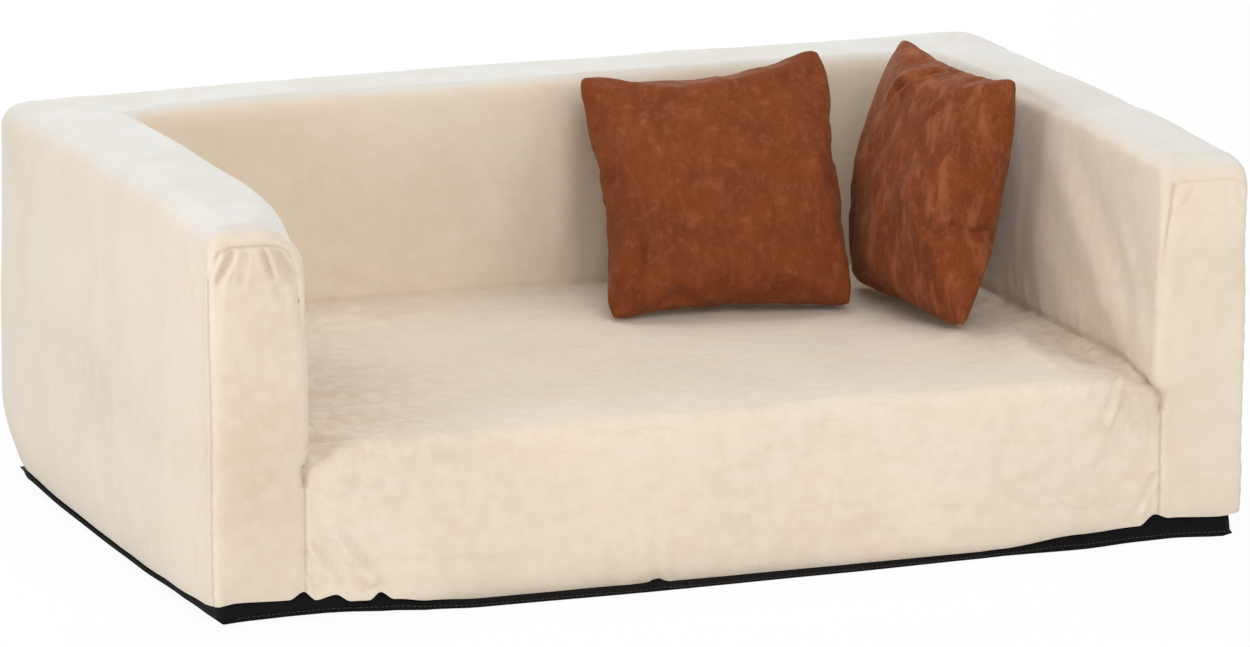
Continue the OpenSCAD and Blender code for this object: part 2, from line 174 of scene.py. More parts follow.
# %% The floor
bpy.ops.object.select_all(action="DESELECT")
bpy.ops.mesh.primitive_plane_add(size=40, location=(0, 8, -0.0004))
floor = bpy.context.object
floor.name = "studio_floor"
bpy.ops.object.transform_apply()
FLOOR_GLOW = 0.93
pale = Finish("pale_floor")
seen = pale.add("ShaderNodeLightPath", output="Is Camera Ray")
glossy = pale.add("ShaderNodeLightPath", output="Is Glossy Ray")
pale.wear(Base_Color=(0.86, 0.86, 0.86, 1), Roughness=0.9)
glow = pale.add("ShaderNodeEmission", {}, {"Color": (1, 1, 1, 1), "Strength": 1.0})
share = pale.add("ShaderNodeMath", {"operation": "MAXIMUM"}, {0: seen, 1: glossy}) * FLOOR_GLOW
body_of_floor = Socket(pale, pale.shader.outputs[0])
mixed = pale.add("ShaderNodeMixShader", {}, {0: share, 1: body_of_floor, 2: glow})
pale.tree.links.new(mixed.output, pale.tree.nodes["Material Output"].inputs[0])
floor.data.materials.append(pale.material)
print("floor of", rounded(floor.dimensions))

# %% The lamps and the world
WHITE = (1, 1, 1)
# each lamp: its place, the length of its side, its power in watts and its tint
LAMPS = {
    "key_lamp": ((-0.6, -4.0, 2.5), 2.4, 78, WHITE),
    "right_lamp": ((1.6, -4.0, 2.2), 2.4, 20, WHITE),
    "left_lamp": ((-3.0, -0.9, 0.55), 1.2, 29, (0.90, 0.955, 1.0)),
    "top_lamp": ((0.0, 0.9, 3.4), 2.6, 38, (0.88, 0.96, 1.0)),
    "rear_lamp": ((0.3, 3.6, 1.3), 2.0, 44, (0.85, 0.95, 1.0)),
}
WORLD_LIGHT = 0.52
for name, (place, side, power, tint) in LAMPS.items():
    bpy.ops.object.light_add(type="AREA", location=place)
    light = bpy.context.object
    light.name = name
    light.data.shape = "SQUARE"
    light.data.size = side
    light.data.energy = power
    light.data.color = tint
    light.rotation_euler = (Vector(place) - AIM).to_track_quat("Z", "Y").to_euler()
world = bpy.data.worlds.new("studio_world")
bpy.context.scene.world = world
world.use_nodes = True
sky = world.node_tree
rays = sky.nodes.new("ShaderNodeLightPath")
either = sky.nodes.new("ShaderNodeMath")
either.operation = "MAXIMUM"
sky.links.new(rays.outputs["Is Camera Ray"], either.inputs[0])
sky.links.new(rays.outputs["Is Transmission Ray"], either.inputs[1])
level = sky.nodes.new("ShaderNodeMapRange")
level.inputs["To Min"].default_value = WORLD_LIGHT
sky.links.new(either.outputs[0], level.inputs["Value"])
sky.links.new(level.outputs[0], sky.nodes["Background"].inputs["Strength"])
sky.nodes["Background"].inputs["Color"].default_value = (*WHITE, 1)
bpy.context.scene.view_settings.view_transform = "Standard"
print(len(LAMPS), "lamps")

# %% [markdown]
# ## Helpers for modelling
# Blender's operators act on all that is selected, so each step first selects just
# what it works on. `alone` does it for objects, `choose` for faces, edges or
# points, from a list of yes and no.

# %% Selecting, finishing and moving points
def alone(*objects):
    bpy.ops.object.select_all(action="DESELECT")
    for item in objects:
        item.select_set(True)
    bpy.context.view_layer.objects.active = objects[0]
    return objects[0]


def points_of(piece):
    spots = np.empty(len(piece.data.vertices) * 3)
    piece.data.vertices.foreach_get("co", spots)
    return spots.reshape(-1, 3)


def put_points(piece, spots):
    piece.data.vertices.foreach_set("co", np.ascontiguousarray(spots).ravel())
    piece.data.update()


def normals_of(piece):
    return np.array([v.normal for v in piece.data.vertices])


def face_centres(piece):
    spots = np.empty(len(piece.data.polygons) * 3)
    piece.data.polygons.foreach_get("center", spots)
    return spots.reshape(-1, 3)


def edge_ends(piece):
    ends = np.empty(len(piece.data.edges) * 2, dtype=np.int64)
    piece.data.edges.foreach_get("vertices", ends)
    return ends.reshape(-1, 2)


def choose(piece, kind, wanted):
    alone(piece)
    bpy.ops.object.mode_set(mode="EDIT")
    bpy.ops.mesh.select_mode(type=kind)
    bpy.ops.mesh.select_all(action="DESELECT")
    bpy.ops.object.mode_set(mode="OBJECT")
    data = piece.data
    parts = {"VERT": data.vertices, "EDGE": data.edges, "FACE": data.polygons}[kind]
    parts.foreach_set("select", np.asarray(wanted, dtype=bool))
    bpy.ops.object.mode_set(mode="EDIT")


def choose_all(piece):
    choose(piece, "FACE", np.ones(len(piece.data.polygons), bool))


def done():
    bpy.ops.object.mode_set(mode="OBJECT")


def subdivide(piece, kind, wanted, cuts=1):
    choose(piece, kind, wanted)
    bpy.ops.mesh.subdivide(number_cuts=cuts)
    done()


def remove_faces(piece, wanted):
    choose(piece, "FACE", wanted)
    bpy.ops.mesh.delete(type="FACE")
    done()


def finish_with(piece, kind, **settings):
    alone(piece)
    modifier = piece.modifiers.new(kind.title(), kind)
    for key, value in settings.items():
        setattr(modifier, key, value)
    bpy.ops.object.modifier_apply(modifier=modifier.name)
    return piece


print("selecting helpers ready")

# %% [markdown]
# Most pieces start as a block. The Bevel modifier rounds its edges, and one weight
# per edge gives each edge its own radius.

# %% Blocks with rounded edges
def block(name, low, high):
    bpy.ops.object.select_all(action="DESELECT")
    middle = (np.array(low) + np.array(high)) / 2
    bpy.ops.mesh.primitive_cube_add(size=1, location=middle, scale=np.array(high) - np.array(low))
    piece = bpy.context.object
    piece.name = name
    bpy.ops.object.transform_apply()
    return piece


def rounded_block(name, low, high, rounds, segments=6):
    """A block whose edges are rounded one by one. `rounds` pairs an edge with its
    radius: (-1, 0, 1) is the edge at low x and high z, along y."""
    piece = block(name, low, high)
    spots = points_of(piece)
    middle = (np.array(low) + np.array(high)) / 2
    half = (np.array(high) - np.array(low)) / 2
    sides = np.rint((spots[edge_ends(piece)].mean(1) - middle) / half).astype(int)
    largest = max(radius for _, radius in rounds)
    weight = piece.data.attributes.new("bevel_weight_edge", "FLOAT", "EDGE")
    for edge, radius in rounds:
        for index in np.nonzero((sides == np.array(edge)).all(1))[0]:
            weight.data[int(index)].value = radius / largest
    shape = {"width": largest, "segments": segments}
    return finish_with(piece, "BEVEL", limit_method="WEIGHT", offset_type="OFFSET", **shape)


print("blocks ready")

# %% [markdown]
# Cloth is never even. `cloud` gives soft random hills: random values on a coarse
# lattice, smoothly filled in between, always the same for one seed.

# %% Soft random hills
LATTICE = 64


def cloud(spots, size, seed, levels=2):
    """Hills about `size` apart, with `levels - 1` finer layers, each half as high."""
    total = np.zeros(len(spots))
    for level in range(levels):
        cell = spots / (size / 2**level)
        corner = np.floor(cell).astype(int)
        part = cell - corner
        part = part * part * (3 - 2 * part)
        lattice = np.random.default_rng(seed + level).uniform(-1, 1, (LATTICE,) * 3)
        for step in itertools.product((0, 1), repeat=3):
            value = lattice[tuple(((corner + step) % LATTICE).T)]
            share = np.where(step, part, 1 - part).prod(axis=1)
            total += value * share * 0.5**level
    return total


print("hills ready")

# %% [markdown]
# ## The body under the cover
# The real bed is cut foam: two arm slabs, a back slab and a seat slab. The cover
# is stretched over them all, so its shape is worked out on one closed body. The
# slabs are blocks with rounded edges, joined, and remeshed into one even net that
# can later be bent into hems, seams and folds.

# %% Sizes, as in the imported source
HALF_W = 0.550
HALF_D = 0.360
BODY_H = 0.395
WELL_X = 0.458
WELL_Y = 0.250
SEAT_Z = 0.170
EDGE_R = 0.026
ARM_FRONT_R = 0.024
REAR_R = 0.014
FRONT_R = 0.005
INNER_R = 0.007
INNER_TOP_R = 0.007
SEAT_FRONT_R = 0.013
HEM_Z = 0.015
WRAP_Y = -0.353
TOP_SEAM_Z = 0.371
UNDER = -0.03
NET = 0.005
print("body", 2 * HALF_W, "m wide,", 2 * HALF_D, "m deep and", BODY_H, "m high")

# %% The slabs, joined and remeshed
def arm_slab(side):
    low = (min(side * HALF_W, side * WELL_X), -HALF_D, UNDER)
    high = (max(side * HALF_W, side * WELL_X), HALF_D, BODY_H)
    rounds = [
        ((side, 0, 1), EDGE_R), ((-side, 0, 1), INNER_TOP_R),
        ((0, -1, 1), ARM_FRONT_R), ((0, 1, 1), EDGE_R),
        ((side, -1, 0), FRONT_R), ((-side, -1, 0), INNER_R), ((side, 1, 0), REAR_R),
    ]
    return rounded_block("arm_slab", low, high, rounds)


back_slab = rounded_block(
    "back_slab",
    (-HALF_W, WELL_Y, UNDER),
    (HALF_W, HALF_D, BODY_H),
    [
        ((0, 1, 1), EDGE_R), ((0, -1, 1), INNER_TOP_R),
        ((-1, 0, 1), EDGE_R), ((1, 0, 1), EDGE_R), ((-1, 1, 0), REAR_R), ((1, 1, 0), REAR_R),
    ],
)
REACH = 0.06
seat_slab = rounded_block(
    "seat_slab",
    (-WELL_X - REACH, -HALF_D, UNDER),
    (WELL_X + REACH, WELL_Y + REACH, SEAT_Z),
    [((0, -1, 1), SEAT_FRONT_R)],
)
cover = alone(arm_slab(-1), arm_slab(1), back_slab, seat_slab)
bpy.ops.object.join()
cover.name = "cover"
finish_with(cover, "REMESH", mode="VOXEL", voxel_size=NET, adaptivity=0.0)
finish_with(cover, "SMOOTH", factor=0.5, iterations=3)
print("net of", len(cover.data.polygons), "faces")

# %% [markdown]
# ## Cutting the cover into its panels
# The cover is sewn from six panels: two arm covers that wrap from outside over the
# top to inside, two front panels, the back, and one seat panel that rolls over the
# front edge down to the hem. Clean seams need edges that run along them, so the
# net is cut along each seam with bisect before the panels are told apart.

# %% Cuts along the hem and the seams
FAR = 9.0


def within(x=(-FAR, FAR), y=(-FAR, FAR), z=(-FAR, FAR), side=1):
    """A test for faces whose centres lie between limits; x is measured towards `side`."""

    def test(centres):
        limits = zip((centres[:, 0] * side, centres[:, 1], centres[:, 2]), (x, y, z))
        return np.all([(place > low) & (place < high) for place, (low, high) in limits], axis=0)

    return test


def cut(piece, wanted, spot, direction, clear_below=False):
    choose(piece, "FACE", wanted(face_centres(piece)))
    bpy.ops.mesh.bisect(
        plane_co=spot, plane_no=direction, clear_inner=clear_below, threshold=1e-6
    )
    done()


JOIN_Z = SEAT_Z + 0.004
MITRE = [(WELL_X, WELL_Y), (0.496, 0.288), (0.512, 0.322), (HALF_W, HALF_D)]
INNER_SEAM = [
    (WELL_X, 0), (WELL_X, JOIN_Z), (0.460, 0.24), (0.463, 0.30), (0.471, TOP_SEAM_Z)
]
TOP_SEAM_BAND = (TOP_SEAM_Z - 0.02, TOP_SEAM_Z + 0.02)
cut(cover, within(), (0, 0, HEM_Z), (0, 0, 1), clear_below=True)
for side in (-1, 1):
    wrap_y = (WRAP_Y - 0.02, WRAP_Y + 0.02)
    on_arm = within(x=(WELL_X - 0.012, FAR), y=wrap_y, side=side)
    cut(cover, on_arm, (0, WRAP_Y, 0), (0, 1, 0))
    on_front_top = within(x=(WELL_X - 0.004, FAR), y=(-FAR, WRAP_Y), z=TOP_SEAM_BAND, side=side)
    cut(cover, on_front_top, (0, 0, TOP_SEAM_Z), (0, 0, 1))
    near_inner = (WELL_X - 0.02, WELL_X + 0.02)
    beside_apron = within(x=near_inner, y=(-FAR, -0.32), z=(-FAR, SEAT_Z + 0.012), side=side)
    cut(cover, beside_apron, (side * WELL_X, 0, 0), (1, 0, 0))
    for (x1, y1), (x2, y2) in zip(MITRE, MITRE[1:]):
        on_mitre = within(x=(x1 - 0.004, x2 + 0.02), y=(y1 - 0.02, y2 + 0.02), side=side)
        cut(cover, on_mitre, (side * x1, y1, 0), (side * (y2 - y1), -(x2 - x1), 0))
    for (x1, z1), (x2, z2) in zip(INNER_SEAM[1:], INNER_SEAM[2:]):
        seam_x, seam_z = (x1 - 0.006, x2 + 0.006), (z1 - 0.0005, z2 + 0.0005)
        on_inner_seam = within(x=seam_x, y=(-FAR, -0.335), z=seam_z, side=side)
        cut(cover, on_inner_seam, (side * x1, 0, z1), (z2 - z1, 0, -side * (x2 - x1)))
join_x = (-WELL_X - 0.012, WELL_X + 0.012)
join_z = (JOIN_Z - 0.014, JOIN_Z + 0.014)
round_seat = within(x=join_x, y=(-FAR, WELL_Y + 0.012), z=join_z)
cut(cover, round_seat, (0, 0, JOIN_Z), (0, 0, 1))
choose_all(cover)
bpy.ops.mesh.remove_doubles(threshold=0.0003)
done()
print("after the cuts", len(cover.data.polygons), "faces")

# %% Which panel each face belongs to
PANELS = [
    "left_arm_panel", "right_arm_panel", "left_front_panel", "right_front_panel",
    "back_panel", "seat_panel_cloth",
]


def panel_of(c):
    x, y, z = np.abs(c[:, 0]), c[:, 1], c[:, 2]
    right = (c[:, 0] > 0).astype(int)
    mitre_y = np.interp(x, [p[0] for p in MITRE], [p[1] for p in MITRE])
    panel = right.copy()
    inner_x = np.interp(z, [p[1] for p in INNER_SEAM], [p[0] for p in INNER_SEAM])
    front = (x > inner_x - 0.0002) & (y < WRAP_Y) & (z < TOP_SEAM_Z)
    panel[front] = 2 + right[front]
    back = (y > mitre_y) & (x >= WELL_X) | (x < WELL_X) & (y > WELL_Y - 0.008)
    back &= z > JOIN_Z - 0.0002
    back |= y > HALF_D - 0.0015
    panel[back & ~front] = 4
    seat = (x < WELL_X + 0.0005) & (y < WELL_Y + 0.0005) & (z < JOIN_Z)
    panel[seat] = 5
    return panel


for name in PANELS:
    cover.data.materials.append(bpy.data.materials.new(name))
panel = panel_of(face_centres(cover))
cover.data.polygons.foreach_set("material_index", panel.astype(np.int32))
print("faces per panel", np.bincount(panel).tolist())

# %% [markdown]
# ## Seams, hems and folds
# A real cover never lies flat. Foam pushes the panels out between the seams, each
# seam pulls the cloth into a small valley, and where the cloth has too much length
# it puckers and folds. All of this is written as heights along the net's normals,
# in the places where the picture shows it, and added in one step.

# %% Shapes of swellings, valleys and folds
def ease(value, start, end):
    part = np.clip((value - start) / (end - start), 0, 1)
    return part * part * (3 - 2 * part)


def through(value, table):
    """A soft curve through the points of a table, level at each of them."""
    places, levels = np.array(table, float).T
    after = np.clip(np.searchsorted(places, value), 1, len(places) - 1)
    part = ease((value - places[after - 1]) / (places[after] - places[after - 1]), 0, 1)
    return levels[after - 1] + (levels[after] - levels[after - 1]) * part


def swell(value, low, high, power=3.0):
    place = np.clip((value - low) / (high - low), 0, 1) * 2 - 1
    return 1 - np.abs(place) ** power


def bell(away, width):
    return np.exp(-((away / width) ** 2))


def between(value, start, full, falling, end):
    """0 up to `start`, 1 from `full` to `falling`, and 0 again from `end`."""
    return ease(value, start, full) * (1 - ease(value, falling, end))


print("a swelling's profile", rounded(swell(np.linspace(0, 1, 5), 0, 1)))

# %% [markdown]
# A seam or a fold follows a line through a few points, so its height depends on how
# far each point of the net lies from that line.

# %% Distances to a line, folds and crumples
def near_line(spots, line):
    """Distance to a line through several points, and how far along it (in metres)."""
    best = np.full(len(spots), 9.0)
    along = np.zeros(len(spots))
    run = 0.0
    for start, end in zip(line, line[1:]):
        start, end = np.array(start, float), np.array(end, float)
        step = end - start
        length = np.linalg.norm(step)
        part = np.clip((spots - start) @ step / length**2, 0, 1)
        away = np.linalg.norm(spots - (start + part[:, None] * step), axis=1)
        closer = away < best
        best = np.where(closer, away, best)
        along = np.where(closer, run + part * length, along)
        run += length
    return best, along, run


ENDS, LIPS = 0.25, 0.5


def fold(spots, line, width, height):
    """A ridge (height > 0) or crease (height < 0) along a line, with lips beside it."""
    away, along, run = near_line(spots, line)
    taper = between(along, -0.001, run * ENDS, run * (1 - ENDS), run + 0.001)
    beside = bell(away - 1.9 * width, 0.9 * width)
    return height * (bell(away, width) - LIPS * beside) * taper


def crumple(spots, size, seed):
    """A net of soft ridges with hollows between, as in cloth that has been sat on."""
    ridge = bell(cloud(spots, size, seed), 0.24)
    return 0.55 * (ridge - 0.4) + 0.5 * cloud(spots, 1.3 * size, seed + 7, 1)


def patch_of(spots, centre, reach):
    away = np.linalg.norm((spots - np.array(centre) * MM) / (np.array(reach) * MM), axis=1)
    return np.exp(-(away**2.5))


print("distance of the origin", rounded(near_line(np.zeros((1, 3)), [(0, 0, 1), (0, 1, 1)])[0]))

# %% [markdown]
# A sharp corner becomes round when the square that it fills is mapped to a quarter
# circle. The same map serves the plan's corners and the arms' edges.

# %% From a square corner to a round one
def to_disc(a, b):
    """Moves places of a unit square into the quarter circle that touches its sides."""
    return a * np.sqrt(1 - np.clip(b, 0, 1) ** 2 / 2), b * np.sqrt(1 - np.clip(a, 0, 1) ** 2 / 2)


def round_corners(spots, sign_y, reach, share):
    """Turns the body's square plan into a rounder one near two of its corners."""
    x, y = np.abs(spots[:, 0]), spots[:, 1] * sign_y
    qx, qy = x - (HALF_W - reach), y - (HALF_D - reach)
    inside = (qx > 0) & (qy > 0)
    round_x, round_y = to_disc(qx / reach, qy / reach)
    new_x, new_y = qx + (round_x * reach - qx) * share, qy + (round_y * reach - qy) * share
    spots[:, 0] = np.where(inside, np.sign(spots[:, 0]) * (HALF_W - reach + new_x), spots[:, 0])
    spots[:, 1] = np.where(inside, sign_y * (HALF_D - reach + new_y), spots[:, 1])


print("the square's corner goes to", rounded(to_disc(1.0, 1.0)))

# %% The seams' lines, and a finer net beside them
FRONT = -HALF_D
SEAMS = {"tight": [], "fine": [], "faint": [], "soft": [], "join": [], "notch": []}
TOP_SEAM = [
    (0.550, 0.343), (0.548, 0.356), (0.541, 0.367), (0.530, 0.371), (0.480, 0.371),
    (0.474, 0.369), (0.471, 0.362),
]
NOTCH = [
    (0.457, -0.335, 0.173), (0.457, -0.348, 0.170), (0.4575, -0.3565, 0.166),
    (0.458, FRONT, 0.160), (0.458, FRONT, 0.151),
]
for side in (-1, 1):
    outer, inner = side * HALF_W, side * WELL_X
    SEAMS["tight"].append([(outer, WRAP_Y, HEM_Z), (outer, WRAP_Y, 0.345)])
    SEAMS["fine"].append([(inner, FRONT, HEM_Z), (inner, FRONT, 0.156)])
    SEAMS["tight" if side < 0 else "faint"].append([(side * x, FRONT, z) for x, z in TOP_SEAM])
    SEAMS["faint" if side < 0 else "fine"].append([(side * x, FRONT, z) for x, z in INNER_SEAM[1:]])
    SEAMS["notch"].append([(side * x, y, z) for x, y, z in NOTCH])
    SEAMS["soft"] += [
        [(side * x, y, BODY_H) for x, y in MITRE[:3]],
        [(inner, WELL_Y, 0.18), (inner, WELL_Y, 0.38)],
        [(outer, HALF_D, HEM_Z), (outer, HALF_D, 0.36)],
    ]
AROUND_FRONT = [(-0.360, 0.150), (-0.3565, 0.165), (-0.348, 0.170), (-0.338, JOIN_Z)]
SEAMS["join"].append(
    [(-WELL_X, y, z) for y, z in AROUND_FRONT]
    + [(-WELL_X, WELL_Y, JOIN_Z), (WELL_X, WELL_Y, JOIN_Z)]
    + [(WELL_X, y, z) for y, z in reversed(AROUND_FRONT)]
)
centres = face_centres(cover)
fine = np.zeros(len(centres), bool)
for line in SEAMS["tight"] + SEAMS["fine"] + SEAMS["faint"] + SEAMS["join"]:
    fine |= near_line(centres, line)[0] < 0.012
for hem_x in ((-FAR, -0.36), (0.34, FAR)):
    fine |= within(x=hem_x, y=(-FAR, -0.35), z=(-FAR, 0.035))(centres)
fine |= within(x=(-FAR, -0.45), y=(-FAR, -0.345), z=(0.30, 0.39))(centres)
subdivide(cover, "FACE", fine)
print("finer net:", len(cover.data.polygons), "faces")

# %% The height of the hem above the floor, along the front and the sides
HEM_FRONT = [
    (-0.550, 19.8), (-0.526, 22.7), (-0.475, 21.0), (-0.460, 28.0), (-0.447, 18.5), (-0.427, 22.3),
    (-0.411, 14.2), (-0.392, 13.5), (-0.381, 20.9), (-0.366, 12.5), (-0.330, 8.0), (-0.278, 5.4),
    (-0.102, 5.0), (-0.089, 8.4), (-0.078, 4.8), (0.259, 5.0), (0.281, 5.8), (0.370, 13.1),
    (0.436, 15.7), (0.453, 26.5), (0.470, 21.5), (0.526, 18.3), (0.550, 21.0),
]
HEM_SIDE = [
    (-0.362, 20.8), (-0.323, 16.4), (-0.240, 12.0), (-0.105, 8.8), (0.035, 7.6), (0.180, 7.4),
    (0.291, 9.5), (0.345, 15.5), (0.360, 15.5),
]


def hem_height(spots):
    front = through(spots[:, 0], HEM_FRONT) * MM
    side = through(spots[:, 1], HEM_SIDE) * MM
    height = np.where(spots[:, 1] < -0.350, front, side)
    return np.where((spots[:, 1] > 0.345) & (np.abs(spots[:, 0]) < 0.54), HEM_Z, height)


print(len(HEM_FRONT), "hem heights along the front and", len(HEM_SIDE), "along each side")

# %% Folds that the picture shows
# for each face: where a point lies in 3-D, from its two numbers on that face
FACES = {
    "front": lambda x, z: (x * MM, FRONT, z * MM),
    "seat": lambda x, y: (x * MM, y * MM, SEAT_Z),
    "inside of the right arm": lambda y, z: (WELL_X, y * MM, z * MM),
    "inside of the back": lambda x, z: (x * MM, WELL_Y, z * MM),
    "outside of the left arm": lambda y, z: (-HALF_W, y * MM, z * MM),
    "over the front edge": lambda x, y, z: (x * MM, y * MM, z * MM),
}
# each fold: its width and height, then the points that it runs through, all in mm
FOLDS_ON = {
    "front": [
        # the left front panel's top
        (3.2, -5.0, (-526, 371), (-544, 341)),
        (3.2, -2.4, (-514, 370), (-520, 336)),
        (3.2, -3.6, (-499, 370), (-488, 342)),
        (4.4, -4.2, (-484, 369), (-472, 340)),
        (5.0, -1.8, (-488, 338), (-471, 321)),
        (4.0, -1.6, (-478, 366), (-466, 330), (-463, 290)),
        (5.0, -1.4, (-540, 362), (-548, 300), (-546, 250)),
        # the apron under the seat's front edge
        (4.4, 4.6, (-436, 92), (-405, 57), (-376, 19)),
        (4.4, 4.0, (-459, 78), (-440, 50), (-421, 21)),
        (3.6, -2.8, (-412, 44), (-390, 20)),
        (3.4, 1.8, (-459, 41), (-453, 20)),
        (8.0, -1.8, (-412, 135), (-340, 105)),
        (4.5, -2.2, (458, 72), (430, 26)),
        (6.0, 1.6, (392, 112), (376, 84)),
        (5.0, -1.6, (-95, 60), (-88, 6)),
        (4.0, -1.8, (440, 60), (452, 18)),
        (10.0, -1.0, (60, 60), (140, 20)),
        (9.0, -1.2, (250, 70), (310, 18)),
        # the right front panel
        (3.2, -1.8, (492, 366), (479, 344)),
        (3.0, -1.6, (537, 364), (543, 344)),
        (4.0, -1.2, (470, 352), (466, 300), (462, 230)),
    ],
    "over the front edge": [
        (3.8, 3.6, (427, -332, 172), (416, -352, 166), (409, -360, 150), (396, -360, 118)),
    ],
    "seat": [
        (5.5, -5.0, (-448, -250), (-412, -282), (-376, -310)),
        (5.0, -4.6, (-450, -292), (-424, -318), (-398, -338)),
        (7.0, -3.2, (-430, -218), (-372, -262), (-318, -290)),
        (7.0, -2.2, (-404, -96), (-348, -154), (-290, -180)),
        (6.0, 3.0, (-290, 150), (-262, 175), (-234, 182), (-206, 160)),
        (6.0, 2.6, (-262, 225), (-226, 232), (-196, 205)),
        (6.0, -2.6, (-250, 120), (-220, 150), (-190, 150)),
        (9.0, 2.6, (380, 20), (437, 32), (452, 70)),
        (8.0, -2.2, (400, -40), (440, -20)),
        (11.0, 3.4, (396, -110), (374, -230), (368, -322)),
        (16.0, -3.4, (440, -100), (424, -200), (428, -300)),
        (6.0, -2.0, (452, -200), (430, -215)),
        (12.0, 1.8, (250, -140), (330, -120), (372, -60)),
    ],
    "inside of the right arm": [
        (26.0, 4.0, (-60, 372), (-110, 335), (-190, 270), (-270, 210), (-345, 165)),
        (18.0, -1.6, (-130, 366), (-215, 300), (-300, 215)),
        (14.0, 2.0, (-250, 330), (-300, 260), (-340, 190)),
        (10.0, 2.0, (-20, 380), (-12, 300), (0, 199)),
    ],
    "inside of the back": [
        (14.0, -1.6, (74, 380), (68, 280), (60, 180)),
        (14.0, 1.2, (38, 380), (34, 280), (28, 180)),
        (9.0, -1.2, (-260, 210), (-180, 186)),
        (8.0, -1.4, (-440, 200), (-380, 182)),
    ],
    "outside of the left arm": [
        (6.0, -1.4, (-287, 356), (-318, 318)),
        (6.0, -1.2, (-330, 366), (-302, 314)),
    ],
}
FOLDS = [
    ([FACES[face](*point) for point in points], width, height)
    for face, folds in FOLDS_ON.items()
    for width, height, *points in folds
]
print(len(FOLDS), "folds")

# %% Where the cloth lies crumpled, where shade is painted on it, and where its pile is brushed
# centre and reach in millimetres, and the crumples' height, in millimetres too
CRUMPLED = [
    ((-235, 185, 170), (90, 75, 40), 4.6),
    ((-390, -270, 170), (80, 70, 40), 2.4),
    ((420, 0, 170), (90, 90, 50), 4.2),
    ((440, -180, 180), (60, 120, 60), 2.8),
    ((430, -330, 160), (60, 60, 50), 2.8),
    ((455, -240, 240), (40, 90, 70), 2.0),
    ((100, -60, 170), (160, 90, 40), 1.2),
    ((-430, -355, 60), (60, 40, 60), 1.8),
    ((440, -355, 50), (50, 40, 60), 1.8),
    ((-90, -355, 20), (60, 40, 40), 1.8),
    ((-100, 245, 210), (160, 40, 50), 1.2),
]
# centre and reach, and how strongly shade is painted on the cloth in its shade colour
SHADED_PLACES = [
    ((458, -349, 167), (8, 13, 11), 1.0),
    ((-458, -349, 167), (8, 13, 11), 1.2),
    ((408, -150, 170), (28, 72, 20), 0.45),
    ((394, -330, 166), (28, 34, 20), 0.32),
    ((-400, -60, 172), (120, 240, 60), 0.22),
    ((420, -40, 172), (100, 150, 60), 0.22),
    ((-260, -360, 90), (260, 40, 90), 0.15),
    ((-478, -360, 352), (14, 20, 24), 0.22),
]
# centre, reach and strength of patches in the darker pile tone: partly brushed pile, partly painted
# shade, beside the left arm, beside and behind the right cushion, inside the right arm and on the
# left front panel
PILE_AND_SHADE_PATCHES = [
    ((-400, -80, 172), (130, 260, 60), 1.0),
    ((425, -20, 172), (100, 150, 60), 0.7),
    ((432, -215, 172), (46, 150, 60), 1.1),
    ((458, -60, 260), (30, 280, 160), 0.6),
    ((458, 100, 285), (30, 110, 125), 0.7),
    ((-504, -360, 190), (60, 30, 240), 0.60),
]
DEEP_CRUMPLE = 2.5
fine = np.zeros(len(cover.data.polygons), bool)
centres = face_centres(cover)
for centre, reach, height in CRUMPLED:
    if height > DEEP_CRUMPLE:
        fine |= patch_of(centres, centre, reach) > 0.35
areas = np.array([face.area for face in cover.data.polygons])
not_yet_fine = areas > (0.7 * NET) ** 2
subdivide(cover, "FACE", fine & not_yet_fine)
print("finer again:", len(cover.data.polygons), "faces")

# %% How each kind of seam looks
# depth in mm, width, how dark the painted shade along it is, and how wide that painted shade is
SEAM_LOOKS = {
    "tight": (1.9, 0.0024, 0.8, 0.0013),
    "fine": (1.3, 0.0024, 0.7, 0.0012),
    "faint": (0.9, 0.0022, 0.4, 0.0010),
    "soft": (0.5, 0.006, 0.12, 0.003),
    "join": (4.2, 0.0038, 0.8, 0.0016),
    "notch": (2.0, 0.0030, 0.8, 0.0024),
}
# the puckers beside some seams: pitch, how uneven, the unevenness' size and seed, height
# in mm, how far they reach, and how far from the seam they start
PUCKERS = {
    "tight": (0.021, 3, 0.05, 21, 0.45, 0.012, 0.001),
    "join": (0.034, 4, 0.07, 25, 0.8, 0.018, -1),
}
print(sum(len(lines) for lines in SEAMS.values()), "seams")

# %% [markdown]
# Heights are added up in steps, in millimetres. First comes the foam's fullness: it
# is greatest in the middle of a panel and fades towards the panel's seams.

# %% Fullness of the foam between the seams
spots = points_of(cover)
flat_spots = spots.copy()
facing = normals_of(cover)
x, y, z = flat_spots.T
side_share = ease(np.abs(facing[:, 0]), 0.45, 0.9)
front_share = ease(-facing[:, 1], 0.45, 0.9)
rear_share = ease(facing[:, 1], 0.45, 0.9)
top_share = ease(facing[:, 2], 0.6, 0.95)
on_top = top_share * (z > 0.37)
on_seat_top = top_share * (z < 0.19)
at_front = front_share * (y < -0.34)
panel_x = np.abs(x) - (HALF_W + WELL_X) / 2
# where the foam pushes the cover out, by how many mm, and how that fades both ways
FULLNESS = [
    (side_share * (np.abs(x) > 0.53), 7.0, (y, -0.36, 0.365, 5), (z, -0.10, 0.41, 4)),
    (rear_share * (y > 0.34), 5.0, (x, -0.555, 0.555, 8), (z, -0.06, 0.41, 4)),
    (side_share * (np.abs(x) < 0.47), 2.5, (y, -0.36, 0.25), (z, SEAT_Z, 0.40)),
    (front_share * (y > 0.2), 3.0, (x, -0.46, 0.46, 4), (z, SEAT_Z, 0.40)),
    (at_front * (np.abs(x) > WELL_X), 1.6, (panel_x, -0.046, 0.046, 5), (z, 0, 0.38)),
    (at_front * (np.abs(x) < WELL_X), 3.5, (x, -WELL_X, WELL_X, 6), (z, 0, 0.18)),
]
height = 1.5 * on_top
for where, most, across, up in FULLNESS:
    height += most * where * swell(*across) * swell(*up)
print("fullest place", round(height.max(), 1), "mm")

# %% [markdown]
# The seat is crowned towards its front edge and shows long, shallow ripples from
# side to side. Where the two cushions stand, it is pressed in a little.

